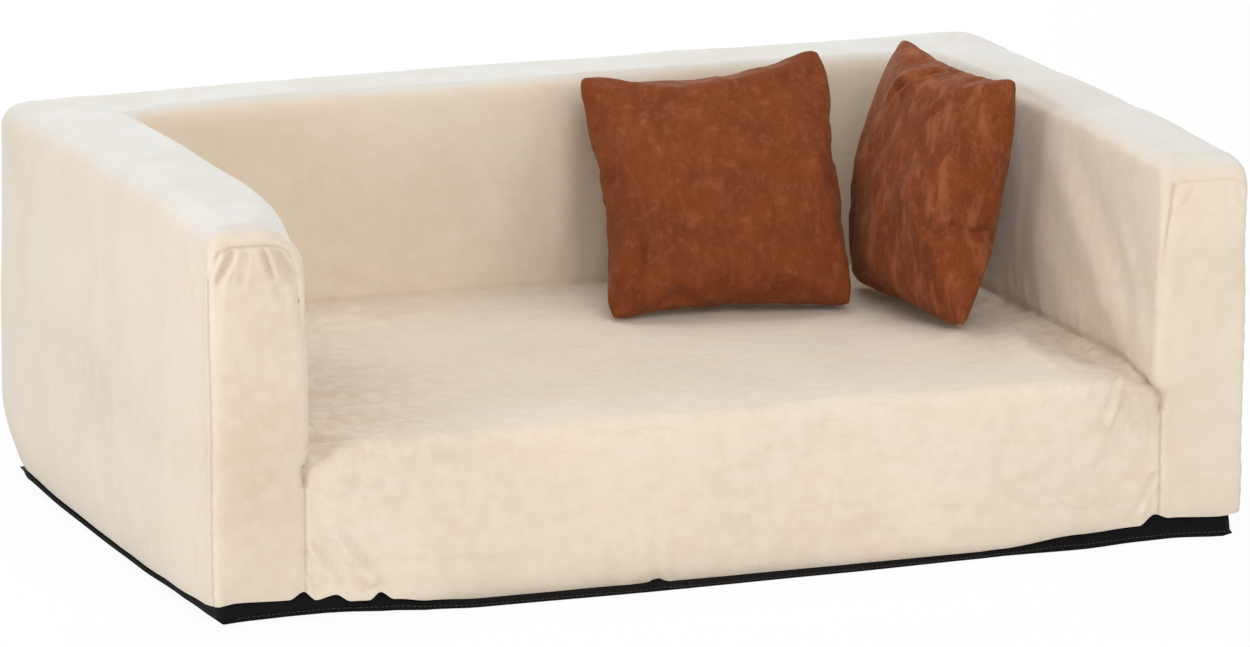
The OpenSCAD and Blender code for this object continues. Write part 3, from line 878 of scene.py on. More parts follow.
# %% The seat's crown, ripples and dents, and unevenness everywhere
RIPPLE_STRETCH = [0.32, 1, 1]
CUSHION_DENTS = [(0.165, 0.12), (0.372, 0.05)]
DENT = 3.0
front_roll = 4.0 * bell(y + 0.32, 0.06) * swell(x, -WELL_X, WELL_X, 4)
height += on_seat_top * (front_roll + 2.2 * cloud(spots, 0.13, 5) + 2.5 * ease(y, 0.0, 0.22))
ripples = cloud(spots * RIPPLE_STRETCH, 0.052, 31, 1)
height += on_seat_top * (0.8 + 0.9 * ease(-x, 0.15, 0.40)) * ripples
height += 1.1 * cloud(spots, 0.10, 11) + 0.25 * cloud(spots, 0.028, 15)
for dent_x, dent_y in CUSHION_DENTS:
    away = ((x - dent_x) / 0.10) ** 4 + ((y - dent_y) / 0.09) ** 4
    height -= on_seat_top * DENT * np.exp(-away)
print("ripples up to", round(ripples.max(), 2))

# %% [markdown]
# Each seam is a narrow valley with puckers beside it, and shade is painted along it.
# Crumples and folds follow, with shade painted along the deeper creases, and the
# hem is turned in. Then all heights move the points at once.

# %% Seams, crumples, folds and the hem, added along the normals
# painted shade along the seams and the deeper creases is gathered here
painted_shade_values = np.zeros(len(spots))
for kind, (depth, width, shade, shade_width) in SEAM_LOOKS.items():
    for seam in SEAMS[kind]:
        away, along, _ = near_line(spots, seam)
        height -= depth * bell(away, width)
        painted_shade_values = np.maximum(painted_shade_values, shade * bell(away, shade_width))
        if kind in PUCKERS:
            pitch, uneven, size, seed, most, reach, start = PUCKERS[kind]
            pucker = np.sin(along * 2 * math.pi / pitch + uneven * cloud(spots, size, seed))
            height += most * pucker * np.exp(-away / reach) * (away > start)
CRUMPLE_SIZE = 0.050
for number, (centre, reach, most) in enumerate(CRUMPLED):
    height += most * patch_of(spots, centre, reach) * crumple(spots, CRUMPLE_SIZE, 60 + number)
# creases deeper than this get painted shade along them
CREASE_MM = -3
for line, width, depth in FOLDS:
    height += fold(spots, line, width * MM, depth)
    if depth < CREASE_MM:
        away = near_line(spots, line)[0]
        painted_shade_values = np.maximum(painted_shade_values, 0.45 * bell(away, 0.8 * width * MM))
above_hem = np.maximum(z - HEM_Z, 0)
turned_in = 3.0 - 1.6 * (1 - ease(y, -0.36, -0.33))
height -= turned_in * np.exp(-above_hem / 0.006)
spots += facing * (height * MM)[:, None]
print("heights from", round(height.min(), 1), "to", round(height.max(), 1), "mm")

# %% [markdown]
# The foam is cut a little too large, so that the cover stays tight. The body is
# therefore fuller than its sizes, most at the rear and low down, and the tops of
# the arms rise towards the rear while the back's top sags at its left end.

# %% A body fuller than its sizes
FULLER_X, FULLER_REAR, FULLER_LOW, FULLER_Y = 2.8, 4.7, 3.0, 4.5
INNER_FULL, INNER_LOW = 3.0, 4.5
ARM_RISE, INNER_DIP, LEFT_SEAM_RISE = 7.0, 4.5, 7.0
REAR_DROP = [
    (-0.55, 7.0), (-0.46, 5.0), (-0.38, 3.3), (-0.25, 2.5), (-0.1, 1.5), (0.0, 0.8), (0.55, 0.6)
]
upper = np.maximum(ease(z, 0.01, 0.06), 0.8 * (1 - ease(y, -0.34, -0.25)))
at_rear = ease(y, -0.30, 0.30)
fuller_x = FULLER_X + at_rear * (FULLER_REAR + FULLER_LOW * (1 - ease(z, 0.15, 0.32)))
spots[:, 0] += np.sign(x) * fuller_x * MM * ease(np.abs(x), 0.47, HALF_W) * upper
spots[:, 1] += FULLER_Y * MM * ease(y, 0.28, HALF_D) * upper
inwards = (INNER_FULL + INNER_LOW * (1 - ease(z, 0.19, 0.36))) * ease(z, 0.160, 0.185)
inwards *= between(np.abs(x), 0.42, 0.455, WELL_X, 0.49)
spots[:, 0] -= np.sign(x) * inwards * MM
rise = ARM_RISE * ease(y, -0.345, -0.16) * ease(z, 0.24, 0.385)
rise -= through(x, REAR_DROP) * ease(y, 0.05, 0.28) * ease(z, 0.24, 0.385)
at_inner_corner = bell(np.abs(x) - 0.445, 0.028) * between(y, 0.225, 0.25, 0.26, 0.33)
rise -= INNER_DIP * at_inner_corner * ease(z, 0.33, 0.385)
at_top_seam = bell(z - TOP_SEAM_Z, 0.020)
rise += LEFT_SEAM_RISE * at_top_seam * (x < 0) * (1 - ease(y, -0.352, -0.330))
spots[:, 2] += rise * MM
print("fuller by up to", round(fuller_x.max(), 1), "mm to each side")

# %% [markdown]
# Near the arms the seat's corners slope down, and foam is soft where two faces meet:
# a square edge is turned into a quarter circle, point by point.

# %% The seat's front corners and the arms' soft inner edges
CORNER_SLOPE = 14.0
SMALL_R, LEFT_FRONT_R, RIGHT_R = 0.004, 0.046, 0.013
# the seat's two front corners slope down beside the arms
corner = between(np.abs(x), 0.400, 0.455, 0.462, 0.480) * (1 - ease(y, -0.352, -0.275))
corner *= between(z, 0.10, 0.152, 0.180, 0.225)
spots[:, 2] -= CORNER_SLOPE * MM * corner
# the arms' inner top edge is soft, and on the left arm much softer at its front end
left_r = SMALL_R + LEFT_FRONT_R * (1 - ease(y, -0.350, -0.24))
edge_r = np.where(x < 0, left_r, RIGHT_R) * (1 - ease(y, 0.08, 0.20))
edge_r = np.maximum(edge_r, 1e-4)
edge_top = BODY_H + 0.0015 + ARM_RISE * MM * ease(y, -0.345, -0.16)
from_side = WELL_X + edge_r - np.abs(spots[:, 0])
from_top = spots[:, 2] - (edge_top - edge_r)
inside = (from_side > 0) & (from_top > 0) & (np.abs(x) > 0.44) & (y < 0.20)
round_side, round_top = to_disc(from_side / edge_r, from_top / edge_r)
rounded_x = np.sign(x) * (WELL_X + edge_r - round_side * edge_r)
spots[:, 0] = np.where(inside, rounded_x, spots[:, 0])
spots[:, 2] = np.where(inside, edge_top - edge_r + round_top * edge_r, spots[:, 2])
print(int(inside.sum()), "points on the arms' soft edges")

# %% [markdown]
# At last the hem rises to the heights that the picture shows. Three numbers per point
# then tell the velour where shade is painted on it, where brushed pile and painted shade
# darken its tone, and where a painted sheen makes the tops paler and greyer.

# %% The hem's rise, rounder lower corners, and marks for the finishes
REAR_CORNER, FRONT_CORNER = 0.050, 0.008
low_share = 1 - ease(z, HEM_Z, 0.10)
spots[:, 2] += (hem_height(flat_spots) - HEM_Z) * low_share
round_corners(spots, 1, REAR_CORNER, 1 - ease(z, 0.0, 0.085))
round_corners(spots, -1, FRONT_CORNER, 1 - ease(z, 0.0, 0.030))
put_points(cover, spots)
marks = {
    # painted shade along seams, in deep creases and at the shaded places
    "painted_shade": painted_shade_values,
    # brushed pile and painted shade, in the darker pile tone
    "brushed_pile_and_shade": np.zeros(len(spots)),
    # painted sheen: the tops paler and greyer, as light from above and behind makes them
    "faded": ease(facing[:, 2], 0.15, 0.90) * ease(z, 0.350, 0.388),
}
for name, places in (("painted_shade", SHADED_PLACES), ("brushed_pile_and_shade", PILE_AND_SHADE_PATCHES)):
    for centre, reach, share in places:
        marks[name] = np.maximum(marks[name], share * patch_of(flat_spots, centre, reach))
for name, values in marks.items():
    mark = cover.data.attributes.new(name, "FLOAT", "POINT")
    mark.data.foreach_set("value", values.astype(np.float32))
    print(name, "up to", round(float(values.max()), 2))

# %% [markdown]
# Now the panels are told apart for good. They were shaped together, so both sides
# of each seam share the same line. Each becomes a cloth 2.2 mm thick, on the
# inside, so that the shape seen from outside stays.

# %% Separate the panels and give them thickness
CLOTH_T = 0.0022


def smooth(piece, angle):
    alone(piece)
    bpy.ops.object.shade_smooth_by_angle(angle=math.radians(angle))


def told_apart(piece, prefix=""):
    """Separates a piece by material and names each part after its material."""
    choose_all(piece)
    bpy.ops.mesh.separate(type="MATERIAL")
    done()
    parts = {}
    for part in list(bpy.context.selected_objects):
        name = prefix + part.data.materials[part.data.polygons[0].material_index].name
        part.name = part.data.name = name
        part.data.materials.clear()
        parts[name] = part
    return parts


panels = told_apart(cover)
for name in PANELS:
    piece = panels[name]
    finish_with(piece, "SOLIDIFY", thickness=CLOTH_T, offset=-1.0, use_quality_normals=True)
    smooth(piece, 60)
    print(name, len(piece.data.polygons), "faces")

# %% [markdown]
# ## The black base cloth
# The underside is a shallow tray of black non-slip cloth. Its border turns up and
# goes behind the cream hem, and along the front it bows out on the floor. It
# starts as a rounded block without its top, and its walls are then bowed by code.

# %% How far the border bows out
BASE_X = 0.5438
BASE_Y = 0.3538
BORDER_H = 0.030
BOW_H = 0.0185
REAR_BORDER_H = 0.0033
# where the border stands on the floor, in mm: its y at places along x, and the left
# side's x at places along y
FLOOR_FRONT = [
    (-0.544, -352), (-0.514, -347), (-0.465, -344), (-0.427, -344), (-0.406, -348), (-0.396, -352),
    (-0.372, -357), (-0.330, -368), (-0.284, -376), (-0.104, -379), (0.100, -376), (0.258, -371),
    (0.281, -369), (0.366, -372), (0.438, -363), (0.472, -361), (0.526, -371), (0.544, -363),
]
FLOOR_SIDE = [
    (-0.354, -542), (-0.286, -544.5), (-0.226, -547), (-0.109, -552.5), (0.023, -554.5),
    (0.168, -555), (0.293, -552), (0.339, -546),
]


def bow_front(x):
    return -through(x, FLOOR_FRONT) * MM - BASE_Y


def bow_side(y):
    return -through(y, FLOOR_SIDE) * MM - BASE_X


def border_share(z, hem):
    """How far the border is bowed out at height z, where the cream hem hangs at `hem`."""
    return np.clip(1 - (np.maximum(z, 0) / np.minimum(hem + MM, BOW_H)) ** 1.6, 0, 1)


print("the border reaches", rounded([bow_front(0.0), bow_side(0.0)]), "m out on the floor")

# %% [markdown]
# The tray is a block without its top. Its walls get enough edges to bend, and the
# part behind the zip is left out.

# %% The tray of base cloth
base = rounded_block(
    "base_cloth_tray",
    (-BASE_X, -BASE_Y, 0),
    (BASE_X, BASE_Y, BORDER_H),
    [
        ((-1, -1, 0), 0.016), ((1, -1, 0), 0.016), ((-1, 1, 0), 0.040), ((1, 1, 0), 0.040),
        ((0, -1, -1), 0.0022), ((0, 1, -1), 0.0012), ((-1, 0, -1), 0.0022), ((1, 0, -1), 0.0022),
    ],
    segments=5,
)
remove_faces(base, face_centres(base)[:, 2] > BORDER_H - 1e-5)
ends = points_of(base)[edge_ends(base)]
subdivide(base, "EDGE", np.linalg.norm(ends[:, 0] - ends[:, 1], axis=1) > 0.5, cuts=79)
for level in (0.0018, REAR_BORDER_H, 0.0048, 0.0064, 0.009, 0.013, BOW_H):
    cut(base, within(), (0, 0, level), (0, 0, 1))
behind_zip = within((-BASE_X, BASE_X), (BASE_Y - 0.002, FAR), (REAR_BORDER_H, FAR))
remove_faces(base, behind_zip(face_centres(base)))
spots = points_of(base)
share = border_share(spots[:, 2], hem_height(spots))
edge_x = ease(np.abs(spots[:, 0]), BASE_X - 0.05, BASE_X - 0.004)
spots[:, 1] -= bow_front(spots[:, 0]) * share * (spots[:, 1] < -BASE_Y + 0.02)
spots[:, 0] += np.sign(spots[:, 0]) * bow_side(spots[:, 1]) * share * edge_x
put_points(base, spots)
choose_all(base)
bpy.ops.mesh.normals_make_consistent(inside=False)
done()
lowest = base.data.polygons[int(np.argmin(face_centres(base)[:, 2]))]
print("underside faces", rounded(lowest.normal))
finish_with(base, "SOLIDIFY", thickness=0.0010, offset=-1.0)
spots = points_of(base)
spots[:, 2] = np.where(spots[:, 2] < 0, 0.0002, spots[:, 2])
put_points(base, spots)
smooth(base, 50)
print("base cloth", len(base.data.polygons), "faces")

# %% [markdown]
# A row of grey stitches runs along the lower part of the border and holds its
# fold. One stitch is a small capsule. It is made once and copied.

# %% The stitches of the border
STITCH_L = 0.0034
STITCH_R = 0.00042
STITCH_STEP = 0.0052
STITCH_Z = 0.0048


def stitch_spot(run, part):
    side = {"left": -1, "right": 1}.get(part, 0)
    wall = (run, -BASE_Y, 0) if part == "front" else (side * BASE_X, run, 0)
    hem = float(hem_height(np.array([wall]))[0])
    height = min(STITCH_Z, 0.4 * hem)
    share = float(border_share(height, hem))
    if part == "front":
        return Vector((run, -BASE_Y - float(bow_front(run)) * share - STITCH_R / 2, height))
    return Vector((side * (BASE_X + float(bow_side(run)) * share + STITCH_R / 2), run, height))


bpy.ops.object.select_all(action="DESELECT")
bpy.ops.mesh.primitive_uv_sphere_add(segments=6, ring_count=5, radius=STITCH_R)
stitch = bpy.context.object
choose(stitch, "VERT", points_of(stitch)[:, 2] > 1e-5)
bpy.ops.transform.translate(value=(0, 0, STITCH_L - 2 * STITCH_R))
done()
stitches = []
STITCHED = {"front": (-0.525, 0.528), "left": (-0.335, 0.305), "right": (-0.335, 0.305)}
for part, (start, end) in STITCHED.items():
    for run in np.arange(start, end, STITCH_STEP):
        place, ahead = stitch_spot(run, part), stitch_spot(run + STITCH_STEP, part)
        copy = stitch.copy()
        copy.data = stitch.data.copy()
        bpy.context.collection.objects.link(copy)
        copy.location = place
        copy.rotation_euler = (ahead - place).to_track_quat("Z", "Y").to_euler()
        stitches.append(copy)
bpy.data.objects.remove(stitch)
stitching = alone(*stitches)
bpy.ops.object.join()
stitching.name = "border_stitching"
bpy.ops.object.transform_apply()
bpy.ops.object.shade_smooth()
print(len(stitches), "stitches")

# %% [markdown]
# ## The zip's tapes
# The teeth, stops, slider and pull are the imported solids. The two tapes are woven
# bands, so they are redrawn: a strip in the solid's place, with a thicker woven
# cord beside the teeth and a selvedge along the far edge.

# %% Two woven tapes
CORD_H = 0.00012


def tape(name, node, cord_low):
    low, high = (np.array(corner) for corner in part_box(node))
    piece = block(name, low, high)
    ends = points_of(piece)[edge_ends(piece)]
    subdivide(piece, "EDGE", np.abs(ends[:, 0, 0] - ends[:, 1, 0]) > 0.5, cuts=100)
    size = high - low
    for part in (0.16, 0.34, 0.84):
        level = low[2] + size[2] * (part if cord_low else 1 - part)
        cut(piece, within(), (0, 0, level), (0, 0, 1))
    spots = points_of(piece)
    part = (spots[:, 2] - low[2]) / size[2]
    part = part if cord_low else 1 - part
    outside = spots[:, 1] > (low[1] + high[1]) / 2
    spots[:, 1] += outside * CORD_H * (bell(part - 0.16, 0.1) - bell(part, 0.08))
    put_points(piece, spots)
    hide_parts(node)
    return piece


upper_tape = tape("upper_zip_tape", "rear_zip_upper_tape", True)
lower_tape = tape("lower_zip_tape", "rear_zip_lower_tape", False)
for piece in (upper_tape, lower_tape):
    print(piece.name, rounded(piece.dimensions, 4))

# %% [markdown]
# ## The scatter cushions
# Each cushion is two squares of suede cloth sewn round their edges and stuffed.
# So it is made that way: two flat squares joined at their edges are blown up. The
# sides pull in, the corners stay out as ears, and the creases beside the seam come
# by themselves. Modelling a cushion by hand would miss all three.

# %% Two sewn squares
SEWN = 0.272
CUSHION = 0.276
CUSHION_T = 0.116
EAR_POWER = 16
SIDE_CUTS = 51
FRAMES = 20
PRESSURE = 4.0


def sewn_squares(name, side, seed):
    piece = block(name, (-side / 2, -0.002, -side / 2), (side / 2, 0.002, side / 2))
    ends = points_of(piece)[edge_ends(piece)]
    subdivide(piece, "EDGE", np.abs(ends[:, 0, 1] - ends[:, 1, 1]) < 0.001, cuts=SIDE_CUTS)
    ends = points_of(piece)[edge_ends(piece)]
    choose(piece, "EDGE", np.abs(ends[:, 0, 1] - ends[:, 1, 1]) > 0.001)
    bpy.ops.mesh.edge_collapse()
    bpy.ops.mesh.select_all(action="SELECT")
    bpy.ops.mesh.normals_make_consistent(inside=False)
    done()
    for cloth in ("front_half", "back_half"):
        piece.data.materials.append(bpy.data.materials.get(cloth) or bpy.data.materials.new(cloth))
    behind = np.array([p.normal.y > 0 for p in piece.data.polygons])
    piece.data.polygons.foreach_set("material_index", behind.astype(np.int32))
    spots = points_of(piece)
    spots[:, 1] += 0.0012 * cloud(spots, 0.05, seed) * np.sign(spots[:, 1])
    put_points(piece, spots)
    return piece


print("two squares of", SEWN, "m, sewn round their edges")

# %% [markdown]
# Blender's Cloth modifier has a pressure that fills a closed form as air would.
# Gravity is off, because the cushion is set down later.

# %% Blown up by Cloth
def blow_up(piece):
    alone(piece)
    modifier = piece.modifiers.new("Cloth", "CLOTH")
    cloth = modifier.settings
    cloth.quality = 8
    cloth.mass = 0.3
    cloth.tension_stiffness = cloth.compression_stiffness = 15
    cloth.shear_stiffness = 5
    cloth.bending_stiffness = 0.5
    cloth.use_pressure = True
    cloth.uniform_pressure_force = PRESSURE
    cloth.effector_weights.gravity = 0
    modifier.point_cache.frame_start = 1
    modifier.point_cache.frame_end = FRAMES
    for step in range(1, FRAMES + 1):
        bpy.context.scene.frame_set(step)
    bpy.ops.object.modifier_apply(modifier=modifier.name)
    bpy.context.scene.frame_set(1)


print(FRAMES, "frames at pressure", PRESSURE)

# %% [markdown]
# The result is scaled to the cushion's real size and smoothed. The deep creases at
# the corners, which this coarse cloth can't form, follow the picture.

# %% Both cushions, with their creases
def on_cushion(piece):
    """All points, and how far across (u) and up (v) each lies: -1 to 1."""
    spots = points_of(piece)
    return spots, spots[:, 0] / (CUSHION / 2), spots[:, 2] / (CUSHION / 2)


def stuffed(name, seed, creases):
    piece = sewn_squares(name, SEWN, seed)
    blow_up(piece)
    spots = points_of(piece)
    size = np.ptp(spots, axis=0)
    spots -= (spots.max(0) + spots.min(0)) / 2
    spots *= np.array([CUSHION, CUSHION_T, CUSHION]) / size
    put_points(piece, spots)
    finish_with(piece, "SUBSURF", levels=1, render_levels=1)
    spots, u, v = on_cushion(piece)
    u, v = np.abs(u), np.abs(v)
    softened = (u**EAR_POWER + v**EAR_POWER) ** (1 / EAR_POWER)
    spots[:, [0, 2]] *= (np.maximum(u, v) / np.maximum(softened, 1e-6))[:, None]
    heights = 0.5 * cloud(spots, 0.05, seed + 40) + 0.7 * cloud(spots, 0.09, seed + 50)
    for line, width, depth in creases:
        heights += fold(spots, [np.array(p) * MM for p in line], width * MM, depth)
    spots += normals_of(piece) * (heights * MM)[:, None]
    put_points(piece, spots)
    print(name, "came out", rounded(size), "m wide, thick and high")
    return piece


# each crease: the points that it runs through, its width and its depth, all in mm
left_cushion = stuffed(
    "left_cushion",
    3,
    creases=[
        (((-128, -16, 116), (-104, -32, 98), (-82, -42, 88)), 5.0, -5.5),
        (((-120, -20, -116), (-102, -32, -88), (-96, -38, -62)), 5.5, -6.0),
        (((122, -16, 112), (98, -32, 88)), 6.0, -2.5),
        (((-60, -52, 60), (-10, -54, 20)), 12.0, -1.4),
    ],
)
right_cushion = stuffed(
    "right_cushion",
    8,
    creases=[
        (((14, -14, 128), (-12, -34, 106), (-40, -46, 86), (-52, -50, 64)), 5.5, -7.5),
        (((-10, -52, 60), (-40, -50, 10), (-60, -46, -40)), 12.0, -2.4),
        (((40, -48, 40), (20, -52, -20), (10, -50, -70)), 12.0, -2.2),
        (((-110, -24, -60), (-80, -40, -30)), 8.0, -2.5),
    ],
)

# %% [markdown]
# Lying about has pressed the cushions out of their even form. Each change below is
# small and soft, and written in u (across) and v (up), from -1 to 1.

# %% Pressed, bulged and tucked
def press_down(piece, drop):
    """The lower side, pulled up by the stuffing, comes down on the seat between its ears."""
    spots, u, v = on_cushion(piece)
    spots[:, 2] -= drop * MM * ease(-v, 0.45, 1.0) * np.clip(1 - np.abs(u) ** 3, 0, 1)
    put_points(piece, spots)


def bulge_side(piece):
    """The left cushion has slid down on its right side, which is fuller than the others."""
    spots, u, v = on_cushion(piece)
    spots[:, 0] += 14 * MM * ease(u, 0.35, 1.0) * np.clip(1 - np.abs(v - 0.1) ** 2.2, 0, 1)
    spots[:, 0] -= 7 * MM * ease(u, 0.5, 1.0) * ease(v, 0.45, 1.0)
    spots[:, 0] -= 4 * MM * ease(-u, 0.5, 1.0) * np.clip(1 - v**2, 0, 1)
    spots[:, 2] -= 4 * MM * ease(v, 0.6, 1.0) * bell(u + 0.45, 0.4)
    put_points(piece, spots)


def tuck_ear(piece):
    """The right cushion's rear lower ear is folded in under it."""
    spots, u, v = on_cushion(piece)
    tucked = ease(-u, 0.35, 1.0) * ease(-v, 0.35, 1.0)
    spots[:, 0] += 12 * MM * tucked
    spots[:, 2] += 8 * MM * tucked
    # it leans against the arm with its back, which is pressed flatter
    spots[:, 1] = np.where(spots[:, 1] > 0, 0.80 * spots[:, 1], spots[:, 1])
    put_points(piece, spots)


# depth behind the seam and how far that part of the rim moves sideways, in mm
RIM_SHIFT = [(-24, 0), (-6, -1.5), (0, -3.5), (6, 1), (12, 5), (20, 6), (32, 3), (45, 0)]


def turn_rim(piece):
    """Rolls the seam of the right side forwards, so that the back half shows past it."""
    spots, u, v = on_cushion(piece)
    depth = spots[:, 1] / MM
    rim = ease(u, 0.70, 0.95) * (1 - np.clip(np.abs(v), 0, 1) ** 8)
    shift = np.interp(depth, *np.array(RIM_SHIFT).T)
    spots[:, 0] += rim * shift * MM
    spots[:, 1] -= 9 * MM * rim * bell(depth, 16)
    put_points(piece, spots)


press_down(left_cushion, 5)
bulge_side(left_cushion)
turn_rim(left_cushion)
press_down(right_cushion, 11)
tuck_ear(right_cushion)
for piece in (left_cushion, right_cushion):
    print(piece.name, "spans", rounded(np.ptp(points_of(piece), axis=0)))

# %% [markdown]
# The cushions are then set down where they lie: the left one leans back, the right
# one stands against the arm. Their lower sides flatten on the seat.

# %% Lean, turn and set down
REST_Z = 0.1703


def set_down(piece, foot, lean, turn, ear_lift=0.0):
    lean, turn = math.radians(lean), math.radians(turn)
    spots, u, v = on_cushion(piece)
    x, y, z = spots.T
    ear = np.clip((1 + u) / 2, 0, 1) ** 2 * np.clip((1 + v) / 2, 0, 1) ** 2
    z = z + CUSHION / 2 + ear_lift * ear
    y, z = y * math.cos(lean) + z * math.sin(lean), z * math.cos(lean) - y * math.sin(lean)
    x, y = x * math.cos(turn) - y * math.sin(turn), x * math.sin(turn) + y * math.cos(turn)
    spots = np.column_stack([x, y, z]) + np.array(foot)
    above = np.maximum(spots[:, 2] - REST_Z, 0)
    under = spots[:, 2] < REST_Z
    spots[:, 2] = np.where(under, REST_Z + 0.0001, REST_Z + above)
    put_points(piece, spots)


set_down(left_cushion, (0.154, 0.060, REST_Z), 27, -5.5, ear_lift=0.018)
set_down(right_cushion, (0.337, 0.028, REST_Z), 13, -86)
for piece in (left_cushion, right_cushion):
    print(piece.name, "reaches up to", rounded(points_of(piece).max(0)))

# %% [markdown]
# A real cushion is a cover round a filling. So the closed form is copied, a little
# smaller, as the stuffing, and the cover is separated along its seam.

# %% Two halves of suede round a stuffing
SUEDE_T = 0.0015


def halves(piece, name):
    """The stuffing stays one closed form, and the cloth is its two sewn halves."""
    pad = piece.copy()
    pad.data = piece.data.copy()
    bpy.context.collection.objects.link(pad)
    pad.name = name + "_stuffing"
    pad.data.materials.clear()
    finish_with(pad, "DISPLACE", strength=-0.0020, mid_level=0.0)
    spots = points_of(pad)
    middle = (spots.max(0) + spots.min(0)) / 2
    put_points(pad, middle + (spots - middle) * 0.98)
    cloths = told_apart(piece, name + "_")
    for part in cloths.values():
        finish_with(part, "SOLIDIFY", thickness=SUEDE_T, offset=-1.0)
        smooth(part, 60)
    return [cloths[name + half] for half in ("_back_half", "_front_half")], pad


left_cloths, left_pad = halves(left_cushion, "left_cushion")
right_cloths, right_pad = halves(right_cushion, "right_cushion")
for piece in left_cloths + right_cloths:
    print(piece.name, len(piece.data.polygons), "faces")

# %% [markdown]
# ## Inside the cover: the foam slabs
# The slabs that carry the shape are plain cut foam with slightly broken edges.
# They are hidden by the cover, and still there for anyone who takes it apart.

# %% Five slabs of foam
FOAMS = ["seat_support_foam", "seat_comfort_foam", "left_arm_foam", "right_arm_foam", "back_foam"]
FOAM_INSET = np.array([0.011, 0.014, 0.006])
CORNER_R, SEAT_CORNER_R = 0.006, 0.060
UPPER_R, LOWER_R, MOST_OF_HEIGHT = 0.022, 0.018, 0.35


def foam_slab(node):
    low, high = (np.array(corner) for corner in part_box(node))
    low, high = low + FOAM_INSET, high - FOAM_INSET
    size = high - low
    front_r = SEAT_CORNER_R if node == "seat_comfort_foam" else CORNER_R
    rounds = []
    for side in (-1, 1):
        rounds += [((side, -1, 0), front_r), ((side, 1, 0), CORNER_R)]
        for up, most in ((1, UPPER_R), (-1, LOWER_R)):
            radius = min(most, MOST_OF_HEIGHT * size[2])
            rounds += [((0, side, up), radius), ((side, 0, up), radius)]
    piece = rounded_block(node.replace("_foam", "_slab"), low, high, rounds, segments=3)
    smooth(piece, 40)
    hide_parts(node)
    print(piece.name, rounded(size))
    return piece


slabs = [foam_slab(node) for node in FOAMS]

# %% [markdown]
# ## Finishes
# ** Velour.** The cover is a short cut pile on a knitted back. From the front it is
# warm cream; at a low angle the pile ends catch the light and it turns cooler and
# paler, which is sheen. On the tops that sheen is also painted into the colour, paler
# and greyer. Where a hand or a fold has brushed the pile, it lies another way and
# looks a shade darker, in cloudy patches and short streaks; the patches listed with
# the cloth's marks are painted shade in this darker tone as well. Shade is also
# painted along the seams and the deeper creases. Under a lens the pile is a fine nap,
# made here by two small noises in the bump.

# %% Cream velour
CREAM = (0.76, 0.645, 0.515)
# the darker tone of brushed pile, also used for painted shade
DARKER_PILE_AND_SHADE = (0.59, 0.465, 0.342)
PALE = (0.80, 0.71, 0.60)
GREYED = (0.72, 0.655, 0.535)
ROSY = (0.77, 0.60, 0.48)
# the painted sheen of the tops
PAINTED_TOP_SHEEN = (0.70, 0.68, 0.635)
# the colour of painted shade
SEAM_SHADE = (0.36, 0.27, 0.20)


def velour(name, streak_turn, streaks, sheen, mottled):
    cloth = Finish(name)

    def mark(attribute):
        return cloth.add("ShaderNodeAttribute", {"attribute_name": attribute}, output="Fac")

    clouds = cloth.ramp(cloth.noise(9.0, detail=2.0, twist=0.4), 0.35, 0.68)
    along = cloth.place(scale=(16, 90, 90), turn=streak_turn)
    streak = cloth.ramp(cloth.noise(1.0, along, detail=3.0, rough=0.6), 0.50, 0.72)
    mottle = cloth.ramp(cloth.noise(60.0, detail=3.0, rough=0.6), 0.38, 0.66)
    nap = cloth.noise(900.0, detail=2.0)
    tuft = cloth.noise(2600.0, detail=1.0)
    tone = cloth.ramp(cloth.noise(4.5, detail=2.0, twist=0.6), 0.40, 0.66)
    rosy = cloth.ramp(cloth.noise(15.0, detail=2.0, twist=0.5), 0.50, 0.72)
    soft = cloth.bump(clouds + mottle * 0.4, 0.0010, 0.4)
    return cloth.wear(
        Base_Color=cloth.layers(
            CREAM,
            (tone * 0.45, GREYED),
            (rosy * 0.30, ROSY),
            # painted sheen on the tops
            (mark("faded") * 0.85, PAINTED_TOP_SHEEN),
            # cloudy darker tone, plus patches of brushed pile and painted shade
            (clouds * 0.22 + mark("brushed_pile_and_shade"), DARKER_PILE_AND_SHADE),
            (streak * streaks, DARKER_PILE_AND_SHADE),
            (mottle * mottled, PALE),
            (cloth.ramp(nap, 0.35, 0.7) * 0.16, DARKER_PILE_AND_SHADE),
            # painted shade along seams, in deep creases and at the shaded places
            (mark("painted_shade") * 0.5, SEAM_SHADE),
        ),
        Roughness=cloth.ramp(nap, 0.2, 0.8) * 0.08 + 0.86,
        Normal=cloth.bump(nap * 0.7 + tuft * 0.3, 0.0005, 0.5, under=soft),
        Sheen_Weight=sheen,
        Sheen_Roughness=0.5,
        Sheen_Tint=(0.97, 0.98, 1.0, 1.0),
        Specular_IOR_Level=0.25,
    )


upwards = (0, math.radians(90), 0)
side_velour = velour("cream_velour_upright", upwards, streaks=0.10, sheen=0.4, mottled=0.22)
seat_velour = velour("cream_velour_seat", (0, 0, 0), streaks=0.22, sheen=0.3, mottled=0.40)
for name in PANELS:
    piece = panels[name]
    piece.data.materials.append(seat_velour if name == "seat_panel_cloth" else side_velour)
print("velour on", len(PANELS), "panels")

# %% [markdown]
# **Brushed suede.** The cushions are rust brown microfibre. A stroke of the hand
# leaves paler pinkish patches and darker ones, two or three centimetres across,
# with streaks along the brushing. The fibre is finer than that of the velour.

# %% Rust brown suede
RUST = (0.195, 0.043, 0.0088)
RUST_DARK = (0.105, 0.023, 0.005)
RUST_PALE = (0.36, 0.118, 0.052)


